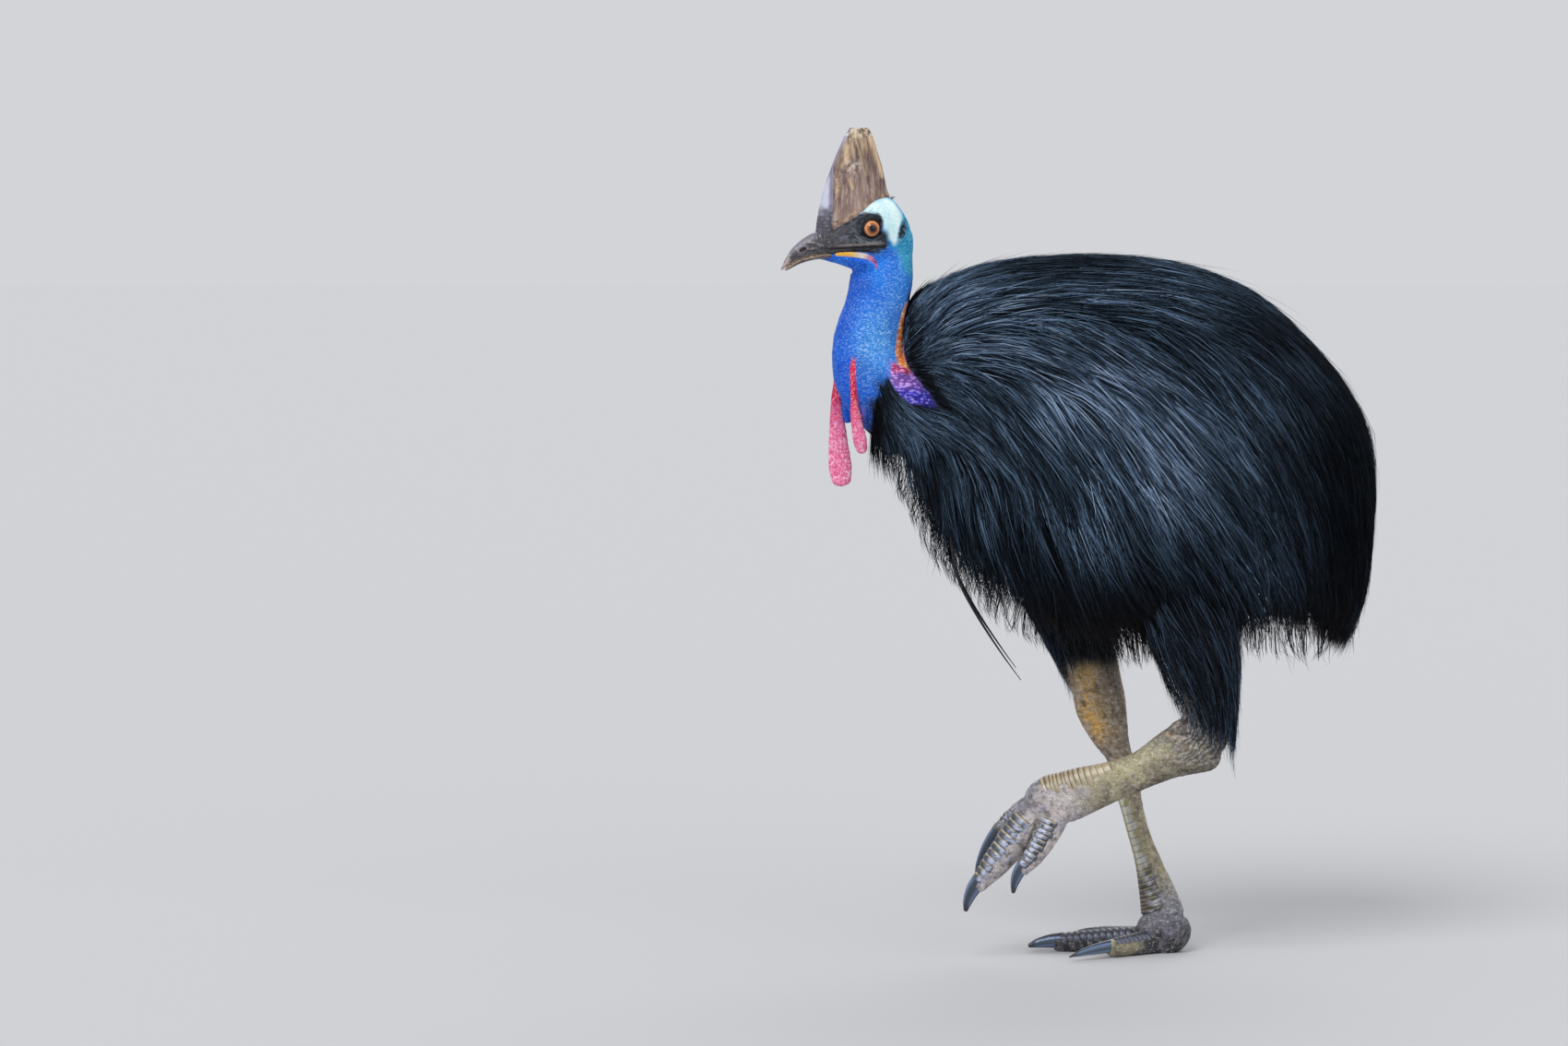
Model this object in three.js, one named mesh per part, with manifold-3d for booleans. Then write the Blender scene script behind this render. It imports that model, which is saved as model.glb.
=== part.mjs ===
// A southern cassowary, life size, caught in mid stride: the right foot carries the bird and the left is lifted.
// Millimetres, +Z up. The bird faces -X, its left side is -Y, and it stands on the plane z = 0.
import * as THREE from 'three';
import Module from 'manifold-3d';
import { mergeVertices } from 'three/addons/utils/BufferGeometryUtils.js';

const wasm = await Module();
wasm.setup();

// Driving dimensions of the whole bird.
const GAP = 0.35;
const CASQUE_TOP = 1430;
const HEAD_CUT = 1194;
const HEAD_YAW = THREE.MathUtils.degToRad(12);
const HEAD_PIVOT = new THREE.Vector3(-327, 0, 0);
const EYE_RADIUS = 16.5;
const TAIL_CUT = 398;

// Colours and finishes, one material for each kind of surface.
function finish(color, roughness) {
  return new THREE.MeshStandardMaterial({ color, roughness, metalness: 0 });
}
const plumage = finish(0x14171c, 0.55);
const blueSkin = finish(0x1450c8, 0.6);
const faceSkin = finish(0x8fd0dc, 0.6);
const wattleSkin = finish(0xd8486e, 0.6);
const casqueHorn = finish(0x75604e, 0.55);
const billHorn = finish(0x2b2a2c, 0.4);
const eyeGloss = finish(0xb5651d, 0.1);
const legSkin = finish(0x75705a, 0.6);
const clawHorn = finish(0x1c242e, 0.35);
const quillHorn = finish(0x0c0c0e, 0.3);

// Catmull-Rom interpolation of evenly spaced values at u, counted in spans.
function between(values, u) {
  const last = values.length - 1;
  const i = Math.min(Math.floor(u), last - 1);
  const t = u - i;
  const a = values[Math.max(i - 1, 0)];
  const b = values[i];
  const c = values[i + 1];
  const d = values[Math.min(i + 2, last)];
  const bend = (2 * a - 5 * b + 4 * c - d) * t * t + (3 * b - a - 3 * c + d) * t * t * t;
  return b + 0.5 * ((c - a) * t + bend);
}

// A superellipse's coordinate: the sign and the size of a cosine or sine raised to 2 / power.
function squared(value, power) {
  return Math.sign(value) * Math.abs(value) ** (2 / power);
}

// A closed skin over rings. A station has its middle (at), its half width (wide) along the across direction, and
// its reach the other way (deep), one number or two: towards and away from the third axis. Rings stand square to
// the line of middles unless facing gives them all one direction. A dome rounds off an end by that length.
function loft(stations, { across, facing = null, sides = 14, perSpan = 3, power = 2, domes = [0, 0], domeRings = 2 }) {
  const line = new THREE.CatmullRomCurve3(stations.map((s) => new THREE.Vector3(...s.at)), false, 'catmullrom', 0.5);
  const spans = stations.length - 1;
  const wide = stations.map((s) => s.wide);
  const ahead = stations.map((s) => (Array.isArray(s.deep) ? s.deep[0] : s.deep));
  const behind = stations.map((s) => (Array.isArray(s.deep) ? s.deep[1] : s.deep));
  const rings = [];
  const addRing = (u, along, scale) => {
    const middle = line.getPoint(u / spans);
    const forward = facing ? facing.clone() : line.getTangent(u / spans);
    const side = across.clone().addScaledVector(forward, -across.dot(forward)).normalize();
    const third = forward.clone().cross(side);
    middle.addScaledVector(forward, along);
    const ring = [];
    for (let k = 0; k < sides; k++) {
      const turn = (k / sides) * Math.PI * 2;
      const reach = Math.sin(turn) > 0 ? between(ahead, u) : between(behind, u);
      const point = middle.clone();
      point.addScaledVector(side, squared(Math.cos(turn), power) * between(wide, u) * scale);
      point.addScaledVector(third, squared(Math.sin(turn), power) * reach * scale);
      ring.push(point);
    }
    rings.push(ring);
    return middle;
  };
  const domeTurns = (domeRings === 1 ? [52] : [68, 36]).map((turn) => THREE.MathUtils.degToRad(turn));
  if (domes[0]) domeTurns.forEach((turn) => addRing(0, -domes[0] * Math.sin(turn), Math.cos(turn)));
  for (let k = 0; k <= spans * perSpan; k++) addRing(k / perSpan, 0, 1);
  if (domes[1]) [...domeTurns].reverse().forEach((turn) => addRing(spans, domes[1] * Math.sin(turn), Math.cos(turn)));
  const pole = (u, along) => {
    const forward = facing ? facing.clone() : line.getTangent(u / spans);
    return line.getPoint(u / spans).addScaledVector(forward, along);
  };
  return skinOver(rings, pole(0, -domes[0]), pole(spans, domes[1]));
}

// Joins rings of equal length into one closed geometry, with a fan to a pole at each end.
function skinOver(rings, firstPole, lastPole) {
  const sides = rings[0].length;
  const positions = [...rings.flat(), firstPole, lastPole].flatMap((p) => [p.x, p.y, p.z]);
  const first = rings.length * sides;
  const index = [];
  for (let k = 0; k < sides; k++) {
    const next = (k + 1) % sides;
    index.push(first, next, k);
    for (let r = 0; r < rings.length - 1; r++) {
      const low = r * sides;
      const high = low + sides;
      index.push(low + k, low + next, high + next, low + k, high + next, high + k);
    }
    const top = (rings.length - 1) * sides;
    index.push(first + 1, top + k, top + next);
  }
  const geometry = new THREE.BufferGeometry();
  geometry.setAttribute('position', new THREE.Float32BufferAttribute(positions, 3));
  geometry.setIndex(index);
  return geometry;
}

// A closed geometry as a solid for joining and cutting, turned right side out.
function solid(geometry) {
  const bare = geometry.clone();
  bare.deleteAttribute('normal');
  bare.deleteAttribute('uv');
  const merged = mergeVertices(bare, 1e-3);
  const make = (triVerts) =>
    new wasm.Manifold(new wasm.Mesh({ numProp: 3, vertProperties: merged.attributes.position.array, triVerts }));
  const made = make(new Uint32Array(merged.index.array));
  if (made.volume() > 0) return made;
  return make(new Uint32Array(merged.index.array).reverse());
}

// A solid's surface as a geometry.
function surface(shape) {
  const found = shape.getMesh();
  const geometry = new THREE.BufferGeometry();
  geometry.setAttribute('position', new THREE.BufferAttribute(new Float32Array(found.vertProperties), 3));
  geometry.setIndex(new THREE.BufferAttribute(new Uint32Array(found.triVerts), 1));
  return geometry;
}

// The same solid with its surface moved out, so that what it cuts keeps clear of it.
function grown(shape, by = GAP) {
  const geometry = surface(shape);
  geometry.computeVertexNormals();
  const place = geometry.attributes.position;
  const normal = geometry.attributes.normal;
  for (let i = 0; i < place.count; i++) {
    place.setXYZ(
      i,
      place.getX(i) + normal.getX(i) * by,
      place.getY(i) + normal.getY(i) * by,
      place.getZ(i) + normal.getZ(i) * by,
    );
  }
  return solid(geometry);
}

// What is left of a solid after cutting: its largest piece, so that no crumbs stay.
function largest(shape) {
  return shape.decompose().reduce((best, piece) => (piece.volume() > best.volume() ? piece : best));
}

// A block that holds one side of a plane, wide enough for the whole bird.
const FAR = 4000;
function sideOf(point, normal) {
  const block = new THREE.BoxGeometry(FAR, FAR, FAR);
  block.translate(0, 0, FAR / 2);
  block.applyQuaternion(new THREE.Quaternion().setFromUnitVectors(new THREE.Vector3(0, 0, 1), normal.clone().normalize()));
  block.translate(point.x, point.y, point.z);
  return solid(block);
}
const UP = new THREE.Vector3(0, 0, 1);
const DOWN = new THREE.Vector3(0, 0, -1);
const TAILWARD = new THREE.Vector3(1, 0, 0);
const HEADWARD = new THREE.Vector3(-1, 0, 0);
const SIDEWAYS = new THREE.Vector3(0, 1, 0);
const aboveFloor = sideOf(new THREE.Vector3(0, 0, 0), UP);

// Turns a geometry of the head about the neck, towards the bird's left.
function turnHead(geometry) {
  geometry.translate(-HEAD_PIVOT.x, 0, 0);
  geometry.rotateZ(HEAD_YAW);
  geometry.translate(HEAD_PIVOT.x, 0, 0);
  return geometry;
}

// Trunk: the haystack of hanging plumes, as upright sections from the breast to the drooping rump.
// Each row: distance along X, top and bottom of the coat, height of its widest line, half width there.
const TRUNK_SECTIONS = [
  [-370, 930, 900, 915, 10],
  [-344, 978, 850, 915, 50],
  [-318, 1040, 805, 925, 68],
  [-303, 1113, 772, 935, 82],
  [-275, 1144, 732, 935, 100],
  [-222, 1178, 658, 913, 132],
  [-117, 1205, 576, 858, 180],
  [23, 1212, 528, 808, 215],
  [163, 1198, 528, 788, 222],
  [293, 1148, 538, 783, 200],
  [403, 1050, 536, 778, 152],
  [478, 943, 566, 768, 90],
  [511, 823, 698, 763, 22],
];
const trunkWhole = solid(
  loft(
    TRUNK_SECTIONS.map(([x, top, bottom, widest, half]) => ({
      at: [x, 0, widest],
      wide: half,
      deep: [top - widest, widest - bottom],
    })),
    { across: SIDEWAYS, facing: TAILWARD, sides: 20, perSpan: 2, power: 2.15, domes: [4, 5.5], domeRings: 1 },
  ),
);
const tailCutPoint = new THREE.Vector3(TAIL_CUT, 0, 0);
const trunk = trunkWhole.subtract(sideOf(tailCutPoint, TAILWARD));
const tail = trunkWhole.intersect(sideOf(new THREE.Vector3(TAIL_CUT + GAP, 0, 0), TAILWARD));

// Neck: from inside the breast up to the skull, deeper than it is wide, with loose skin in front.
const neckLoft = solid(
  loft(
    [
      { at: [-212, 0, 898], wide: 78, deep: 78 },
      { at: [-297, 0, 943], wide: 62, deep: 76 },
      { at: [-355, 0, 998], wide: 50, deep: 71 },
      { at: [-369, 0, 1058], wide: 43, deep: 62 },
      { at: [-357, 0, 1118], wide: 39, deep: 54 },
      { at: [-346, 0, 1173], wide: 37, deep: 53 },
      { at: [-338, 0, 1223], wide: 34, deep: 45 },
    ],
    { across: SIDEWAYS, sides: 14, perSpan: 2, domes: [20, 24], domeRings: 1 },
  ),
);

// Head: a low wedge from the bill's root to the round nape. Each row: X, crown, throat, half width.
const HEAD_SECTIONS = [
  [-455, 1258, 1204, 15],
  [-429, 1274, 1196, 24],
  [-397, 1290, 1189, 32],
  [-364, 1308, 1184, 37],
  [-334, 1309, 1184, 36],
  [-310, 1282, 1194, 29],
];
const headLoft = solid(
  turnHead(
    loft(
      HEAD_SECTIONS.map(([x, crown, throat, half]) => ({
        at: [x, 0, (crown + throat) / 2],
        wide: half,
        deep: (crown - throat) / 2,
      })),
      { across: SIDEWAYS, facing: TAILWARD, sides: 14, perSpan: 2, power: 2.2, domes: [5, 15], domeRings: 1 },
    ),
  ),
);
const headAndNeck = headLoft.add(neckLoft);

// Eyes: whole balls, sunk in the sides of the head by three fifths of their width.
const EYE_PLACE = new THREE.Vector3(-373, 26, 1257);
function eyeBall(side) {
  const ball = new THREE.SphereGeometry(EYE_RADIUS, 12, 8);
  ball.translate(EYE_PLACE.x, EYE_PLACE.y * side, EYE_PLACE.z);
  return solid(turnHead(ball));
}
const eyes = { left: eyeBall(-1), right: eyeBall(1) };

const headWhole = headAndNeck
  .intersect(sideOf(new THREE.Vector3(0, 0, HEAD_CUT + GAP), UP))
  .subtract(grown(eyes.left))
  .subtract(grown(eyes.right));
const neck = largest(
  headAndNeck.intersect(sideOf(new THREE.Vector3(0, 0, HEAD_CUT), DOWN)).subtract(grown(trunkWhole)),
);

// Casque: a tall thin blade of horn. Each row: height, front edge, rear edge, half thickness.
const CASQUE_SECTIONS = [
  [1246, -464, -333, 21],
  [1284, -459, -334, 21],
  [1322, -450, -340, 17],
  [1360, -437, -348, 13],
  [1396, -422, -359, 9.5],
  [1420, -411, -366, 6],
  [CASQUE_TOP, -404, -373, 3],
];
const casqueLoft = turnHead(
  loft(
    CASQUE_SECTIONS.map(([z, front, rear, half]) => ({
      at: [(front + rear) / 2, 0, z],
      wide: half,
      deep: (rear - front) / 2,
    })),
    { across: SIDEWAYS, facing: UP, sides: 14, perSpan: 1, domes: [0, 0] },
  ),
);
const casqueWhole = solid(casqueLoft);
const casque = largest(casqueWhole.subtract(grown(headAndNeck)));

// Bill: two horn sheaths that close on each other, the upper one hooked over the lower.
const upperBillLoft = turnHead(
  loft(
    [
      { at: [-427, 0, 1232], wide: 21, deep: 25 },
      { at: [-462, 0, 1229], wide: 17, deep: 24 },
      { at: [-494, 0, 1216], wide: 11, deep: 16 },
      { at: [-515, 0, 1198], wide: 6, deep: 8.5 },
    ],
    { across: SIDEWAYS, sides: 12, perSpan: 2, domes: [3, 10], domeRings: 1 },
  ),
);
const lowerBillLoft = turnHead(
  loft(
    [
      { at: [-427, 0, 1206], wide: 19, deep: 13 },
      { at: [-462, 0, 1204], wide: 15, deep: 9 },
      { at: [-492, 0, 1197], wide: 9, deep: 6.5 },
      { at: [-509, 0, 1191], wide: 5, deep: 4 },
    ],
    { across: SIDEWAYS, sides: 10, perSpan: 1, domes: [3, 5], domeRings: 1 },
  ),
);
const billUpperWhole = solid(upperBillLoft);
const billUpper = largest(billUpperWhole.subtract(grown(headAndNeck)).subtract(grown(casqueWhole)));
const billLower = largest(solid(lowerBillLoft).subtract(grown(headAndNeck)).subtract(grown(billUpperWhole)));

// Wattles: two flat lobes of red skin that hang from the front of the neck, the right one longer.
function wattle(stations) {
  const lobe = loft(stations, { across: SIDEWAYS, sides: 10, perSpan: 2, domes: [6, 12], domeRings: 1 });
  return largest(solid(lobe).subtract(grown(neckLoft)).subtract(grown(trunkWhole)));
}
const wattleRight = wattle([
  { at: [-421, 20, 1018], wide: 8, deep: 9 },
  { at: [-424, 24, 963], wide: 8, deep: 13 },
  { at: [-422, 22, 903], wide: 8, deep: 17 },
  { at: [-418, 18, 848], wide: 8, deep: 20 },
  { at: [-416, 16, 822], wide: 7, deep: 17 },
]);
const wattleLeft = wattle([
  { at: [-398, -38, 1020], wide: 6, deep: 5 },
  { at: [-396, -44, 975], wide: 7, deep: 7.5 },
  { at: [-391, -42, 930], wide: 8, deep: 11 },
  { at: [-385, -38, 894], wide: 8, deep: 13 },
  { at: [-382, -36, 880], wide: 7, deep: 11 },
]);

// Wings: stumps lost in the plumes, from which only bare black quills show below the breast.
const QUILLS = [
  { reach: 1, spread: 0 },
  { reach: 0.82, spread: 9 },
  { reach: 0.62, spread: -9 },
];
function wing(side) {
  const stump = new THREE.SphereGeometry(15, 10, 6);
  stump.scale(1.25, 0.7, 1);
  stump.translate(-216, side * 92, 663);
  const quills = QUILLS.map(({ reach, spread }) => {
    const stations = [0, 1, 2, 3].map((k) => {
      const run = (k / 3) * reach;
      return {
        at: [-220 + 110 * run ** 1.25, side * (94 + spread * run), 672 - 185 * run],
        wide: 3 - 2 * run,
        deep: 3 - 2 * run,
      };
    });
    return solid(loft(stations, { across: SIDEWAYS, sides: 6, perSpan: 1, domes: [2, 2], domeRings: 1 }));
  });
  const joined = quills.reduce((whole, quill) => whole.add(quill), solid(stump));
  return largest(joined.subtract(grown(trunkWhole)));
}
const wings = { left: wing(-1), right: wing(1) };

// Legs, each from the hip to the ball of the foot. A toe has a start beside the middle of the ball, the way it
// points, how far it bends on the way and its claw droops (degrees), and how thick its cushions are.
const LEFT = {
  thigh: [
    { at: [153, -108, 673], wide: 84, deep: 96 },
    { at: [175, -114, 598], wide: 70, deep: 84 },
    { at: [196, -118, 518], wide: 56, deep: 70 },
    { at: [208, -118, 448], wide: 44, deep: 53 },
    { at: [212, -118, 412], wide: 36, deep: 41 },
  ],
  shank: [
    { at: [214, -118, 452], wide: 30, deep: 36 },
    { at: [206, -118, 418], wide: 31, deep: 42 },
    { at: [197, -118, 386], wide: 31, deep: 45 },
  ],
  tarsus: [
    { at: [195, -118, 381], wide: 29, deep: 53 },
    { at: [148, -114, 360], wide: 25, deep: 42 },
    { at: [99, -109, 333], wide: 21, deep: 33 },
    { at: [45, -104, 311], wide: 21, deep: 35 },
    { at: [0, -99, 295], wide: 25, deep: 41 },
    { at: [-32, -95, 283], wide: 30, deep: 44 },
  ],
  ball: { at: [-58, -92, 272], size: [46, 36, 46] },
  toes: {
    middle: { start: [-12, 0, -4], out: [-0.625, 0, -0.78], bend: 0, droop: 16, thick: [28, 31, 29, 25.5, 21, 13.5] },
    outer: { start: [16, -20, -8], out: [-0.41, -0.1, -0.9], bend: 15, droop: 20, thick: [22, 21, 20, 18.5, 16.5, 11.5] },
    inner: { start: [-12, 14, 2], out: [-0.871, 0.3, -0.388], bend: -28, droop: 12, thick: [20, 20, 18, 15.5, 13, 10] },
  },
};
const RIGHT = {
  thigh: [
    { at: [-38, 84, 673], wide: 82, deep: 94 },
    { at: [-22, 76, 610], wide: 68, deep: 82 },
    { at: [-2, 68, 548], wide: 56, deep: 68 },
    { at: [18, 59, 494], wide: 46, deep: 56 },
    { at: [27, 55, 462], wide: 39, deep: 47 },
  ],
  shank: [
    { at: [28, 54, 470], wide: 37, deep: 44 },
    { at: [38, 50, 420], wide: 36, deep: 44 },
    { at: [52, 45, 377], wide: 29, deep: 34 },
    { at: [68, 40, 340], wide: 23, deep: 23 },
    { at: [75, 37, 316], wide: 25, deep: 26 },
  ],
  tarsus: [
    { at: [78, 37, 312], wide: 24, deep: 30 },
    { at: [86, 31, 270], wide: 20, deep: 21 },
    { at: [100, 23, 214], wide: 18, deep: 18.5 },
    { at: [118, 15, 158], wide: 19, deep: 22 },
    { at: [134, 7, 104], wide: 24, deep: 31 },
    { at: [144, 2, 66], wide: 30, deep: 37 },
  ],
  ball: { at: [145, 0, 36], size: [48, 36, 43] },
  toes: {
    middle: { start: [-20, 0, -15], out: [-1, 0, -0.035], bend: 0, droop: 8, thick: [24, 22, 21, 19, 17, 14] },
    outer: { start: [-14, 16, -16], out: [-0.87, 0.49, -0.04], bend: 0, droop: 8, thick: [21, 19, 18, 17, 16, 13.5] },
    inner: { start: [-14, -14, -16], out: [-0.84, -0.54, -0.03], bend: 0, droop: 5, thick: [21, 19.5, 19, 18, 17, 15] },
  },
};
const vector = (list) => new THREE.Vector3(...list);
const legLoft = (stations, sides, domes) =>
  solid(loft(stations, { across: SIDEWAYS, sides, perSpan: 1, domes, domeRings: 1 }));

// The ball of the foot, a cushion from which the three toes leave.
function ballOf({ at, size }) {
  const ball = new THREE.SphereGeometry(1, 12, 8);
  ball.scale(...size);
  ball.translate(...at);
  return solid(ball);
}

// A toe with its cushions, and the direction that it ends in, for the claw.
function toeOf(leg, which) {
  const { start, out, bend, droop, thick } = leg.toes[which];
  const direction = vector(out).normalize();
  const axis = SIDEWAYS.clone().addScaledVector(direction, -direction.y).normalize();
  const turn = THREE.MathUtils.degToRad(bend);
  const middles = [vector(leg.ball.at).add(vector(start))];
  const step = (TOES[which].long - vector(start).length()) / 5;
  for (let k = 1; k <= 5; k++) {
    const heading = direction.clone().applyAxisAngle(axis, turn * ((k - 1) / 4));
    middles.push(middles[k - 1].clone().addScaledVector(heading, step));
  }
  const stations = middles.map((at, k) => ({ at: at.toArray(), wide: thick[k] * TOES[which].wide, deep: thick[k] }));
  const heading = direction.clone().applyAxisAngle(axis, turn);
  return { shape: legLoft(stations, 10, [4, 8]), tip: middles[5], heading, axis, droop };
}

// A claw: a curved horn cone that leaves the upper side of the toe's end and bends down.
function clawOf({ tip, heading, axis, droop }, { claw, clawThick, taper }) {
  const root = tip.clone().addScaledVector(heading.clone().cross(axis), -0.32 * clawThick);
  const stations = [0, 1, 2, 3].map((k) => {
    const share = k / 3;
    const way = heading.clone().applyAxisAngle(axis, -THREE.MathUtils.degToRad(droop * share));
    const half = clawThick * (1 - taper * share ** 1.9);
    return { at: root.clone().addScaledVector(way, (claw + 13) * share - 13).toArray(), wide: half, deep: half * 1.2 };
  });
  return legLoft(stations, 8, [3, 3]);
}

const TOES = {
  middle: { long: 190, wide: 0.84, claw: 48, clawThick: 11, taper: 0.68 },
  outer: { long: 148, wide: 0.88, claw: 42, clawThick: 9.5, taper: 0.68 },
  inner: { long: 121, wide: 0.84, claw: 88, clawThick: 9, taper: 0.85 },
};

// The bird, put together from head to foot.
const cassowary = new THREE.Group();
function addPart(name, shape, material) {
  const mesh = new THREE.Mesh(surface(shape), material);
  mesh.name = name;
  cassowary.add(mesh);
}
addPart('casque', casque, casqueHorn);
addPart('bill_upper', billUpper, billHorn);
addPart('bill_lower', billLower, billHorn);
addPart('head', largest(headWhole), faceSkin);
addPart('eye_left', eyes.left, eyeGloss);
addPart('eye_right', eyes.right, eyeGloss);
addPart('neck', neck, blueSkin);
addPart('wattle_left', wattleLeft, wattleSkin);
addPart('wattle_right', wattleRight, wattleSkin);
addPart('trunk', trunk, plumage);
addPart('tail', tail, plumage);
addPart('wing_left', wings.left, quillHorn);
addPart('wing_right', wings.right, quillHorn);
for (const [side, leg] of [['left', LEFT], ['right', RIGHT]]) {
  // From the trunk to the claws each piece is cut clear of those before it, and of the floor.
  const before = [trunkWhole];
  const addNext = (name, shape, material) => {
    const cut = before.reduce((rest, other) => rest.subtract(grown(other)), shape.intersect(aboveFloor));
    addPart(`${name}_${side}`, largest(cut), material);
    before.push(shape);
  };
  addNext('thigh', solid(loft(leg.thigh, { across: SIDEWAYS, sides: 14, perSpan: 1, domes: [20, 9] })), plumage);
  addNext('shank', legLoft(leg.shank, 12, [4, 22]), legSkin);
  addNext('tarsus', legLoft(leg.tarsus, 12, [36, 24]), legSkin);
  addNext('foot', ballOf(leg.ball), legSkin);
  const toes = ['middle', 'inner', 'outer'].map((which) => [which, toeOf(leg, which)]);
  toes.forEach(([which, toe]) => addNext(`toe_${which}`, toe.shape, legSkin));
  toes.forEach(([which, toe]) => addNext(`claw_${which}`, clawOf(toe, TOES[which]), clawHorn));
}

export default cassowary;
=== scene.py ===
import math

import bmesh
import bpy
import numpy as np
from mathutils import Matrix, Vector
from mathutils.kdtree import KDTree


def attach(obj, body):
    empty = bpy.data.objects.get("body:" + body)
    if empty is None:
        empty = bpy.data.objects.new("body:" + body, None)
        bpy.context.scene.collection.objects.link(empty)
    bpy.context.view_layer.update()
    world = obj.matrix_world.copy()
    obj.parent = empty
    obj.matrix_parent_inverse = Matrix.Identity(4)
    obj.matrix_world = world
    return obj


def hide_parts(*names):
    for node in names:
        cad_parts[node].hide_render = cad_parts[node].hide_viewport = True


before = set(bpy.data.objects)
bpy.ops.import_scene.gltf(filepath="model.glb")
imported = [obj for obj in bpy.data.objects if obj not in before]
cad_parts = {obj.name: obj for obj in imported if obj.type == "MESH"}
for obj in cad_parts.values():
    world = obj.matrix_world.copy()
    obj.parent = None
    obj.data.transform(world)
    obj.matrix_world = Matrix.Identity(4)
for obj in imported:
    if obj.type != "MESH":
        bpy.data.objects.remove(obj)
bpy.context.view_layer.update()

# Camera: from the bird's left side, level with its head and tipped a little down, as the photograph was
# taken. A long lens, nine metres away, so the far leg is hardly smaller than the near one.
eye_level = Vector((-0.515, -9.0, 1.508))
camera = bpy.data.objects.new("camera", bpy.data.cameras.new("camera"))
camera.data.lens = 120
camera.data.sensor_width = 36
camera.location = eye_level
camera.rotation_euler = (math.radians(90 - 4.827), 0, 0)
bpy.context.scene.collection.objects.link(camera)
bpy.context.scene.camera = camera

# The trunk under the plumes: black hide, laid as upright sections from the breast to the rump, inside the
# coat by its depth. All sizes are millimetres, and the meshes are brought to metres as they are made.
MM = 0.001
SIDEWAYS = np.array([0.0, 1.0, 0.0])
TAILWARD = np.array([1.0, 0.0, 0.0])
UP = np.array([0.0, 0.0, 1.0])


def unit(vectors):
    """Vectors brought to length 1."""
    return vectors / np.maximum(np.linalg.norm(vectors, axis=-1, keepdims=True), 1e-9)


def columns(*values):
    """Arrays side by side, as the columns of one."""
    return np.stack(values, axis=1)


def ease(low, high, value):
    """0 at low, 1 at high, and smooth between."""
    share = np.clip((value - low) / (high - low), 0, 1)
    return share * share * (3 - 2 * share)


def between(values, along):
    """Catmull-Rom values between evenly spaced ones, at places counted in spans."""
    last = len(values) - 1
    span = np.minimum(np.floor(along).astype(int), last - 1)
    t = (along - span)[..., None]
    a, b = values[np.maximum(span - 1, 0)], values[span]
    c, d = values[span + 1], values[np.minimum(span + 2, last)]
    bend = (2 * a - 5 * b + 4 * c - d) * t**2 + (3 * b - a - 3 * c + d) * t**3
    return b + 0.5 * ((c - a) * t + bend)


def middles(places, along):
    """The line through the middles, and its direction, at places counted in spans."""
    line = np.vstack([2 * places[0] - places[1], places, 2 * places[-1] - places[-2]])
    span = np.minimum(np.floor(along).astype(int), len(places) - 2)
    t = (along - span)[..., None]
    a, b, c, d = (line[span + k] for k in range(4))
    point = b + 0.5 * ((c - a) * t + (2 * a - 5 * b + 4 * c - d) * t**2 + (3 * b - a - 3 * c + d) * t**3)
    slope = 0.5 * ((c - a) + 2 * (2 * a - 5 * b + 4 * c - d) * t + 3 * (3 * b - a - 3 * c + d) * t**2)
    return point, unit(slope)


def squared(value, power):
    """A cosine or sine bent so that an oval's corners fill out."""
    return np.sign(value) * np.abs(value) ** (2 / power)


class Loft:
    """A form over rings. Each station is x, y, z, half width across, and its reach along the third axis,
    one number or two: towards the axis and away from it."""

    def __init__(self, stations, across=SIDEWAYS, facing=None, power=2.0, domes=(0, 0)):
        rows = np.array(stations, float)
        self.places, self.sizes = rows[:, :3], rows[:, [3, 4, min(5, rows.shape[1] - 1)]]
        self.across, self.facing, self.power, self.domes = across, facing, power, domes
        self.spans = len(rows) - 1

    def axes(self, along):
        """The middle, and the three directions there: along the form, across it and out of the two."""
        middle, forward = middles(self.places, along)
        if self.facing is not None:
            forward = np.broadcast_to(self.facing, middle.shape)
        side = unit(self.across - (forward @ self.across)[..., None] * forward)
        return middle, forward, side, np.cross(forward, side)

    def skin(self, along, turn, share=1.0, lift=0.0, ahead=0.0):
        """Points of the surface at places along it and turns about it, as arrays of one shape."""
        along, turn = np.broadcast_arrays(np.asarray(along, float), np.asarray(turn, float))
        middle, forward, side, third = self.axes(along)
        sizes = between(self.sizes, along)
        wide = sizes[..., 0] * share + lift
        reach = np.where(np.sin(turn) > 0, sizes[..., 1], sizes[..., 2]) * share + lift
        out = side * (squared(np.cos(turn), self.power) * wide)[..., None]
        out = out + third * (squared(np.sin(turn), self.power) * reach)[..., None]
        return middle + out + forward * np.asarray(ahead)[..., None]

    def mesh(self, sides=48, per_span=8, dome_rings=6):
        """Points and faces of the form, with a rounded dome over each end that has one."""
        turn = np.arange(sides) / sides * 2 * np.pi
        rows = []
        arcs = np.linspace(0, np.pi / 2, dome_rings + 2)[1:-1]
        if self.domes[0]:
            rows += [self.skin(0.0, turn, np.cos(a), 0, -self.domes[0] * np.sin(a)) for a in arcs[::-1]]
        rows += [self.skin(k / per_span, turn) for k in range(self.spans * per_span + 1)]
        last = float(self.spans)
        if self.domes[1]:
            rows += [self.skin(last, turn, np.cos(a), 0, self.domes[1] * np.sin(a)) for a in arcs]
        tips = [self.skin(0.0, 0.0, 0.0, 0, -self.domes[0]), self.skin(last, 0.0, 0.0, 0, self.domes[1])]
        return closed_tube(np.array(rows), tips)


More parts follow.
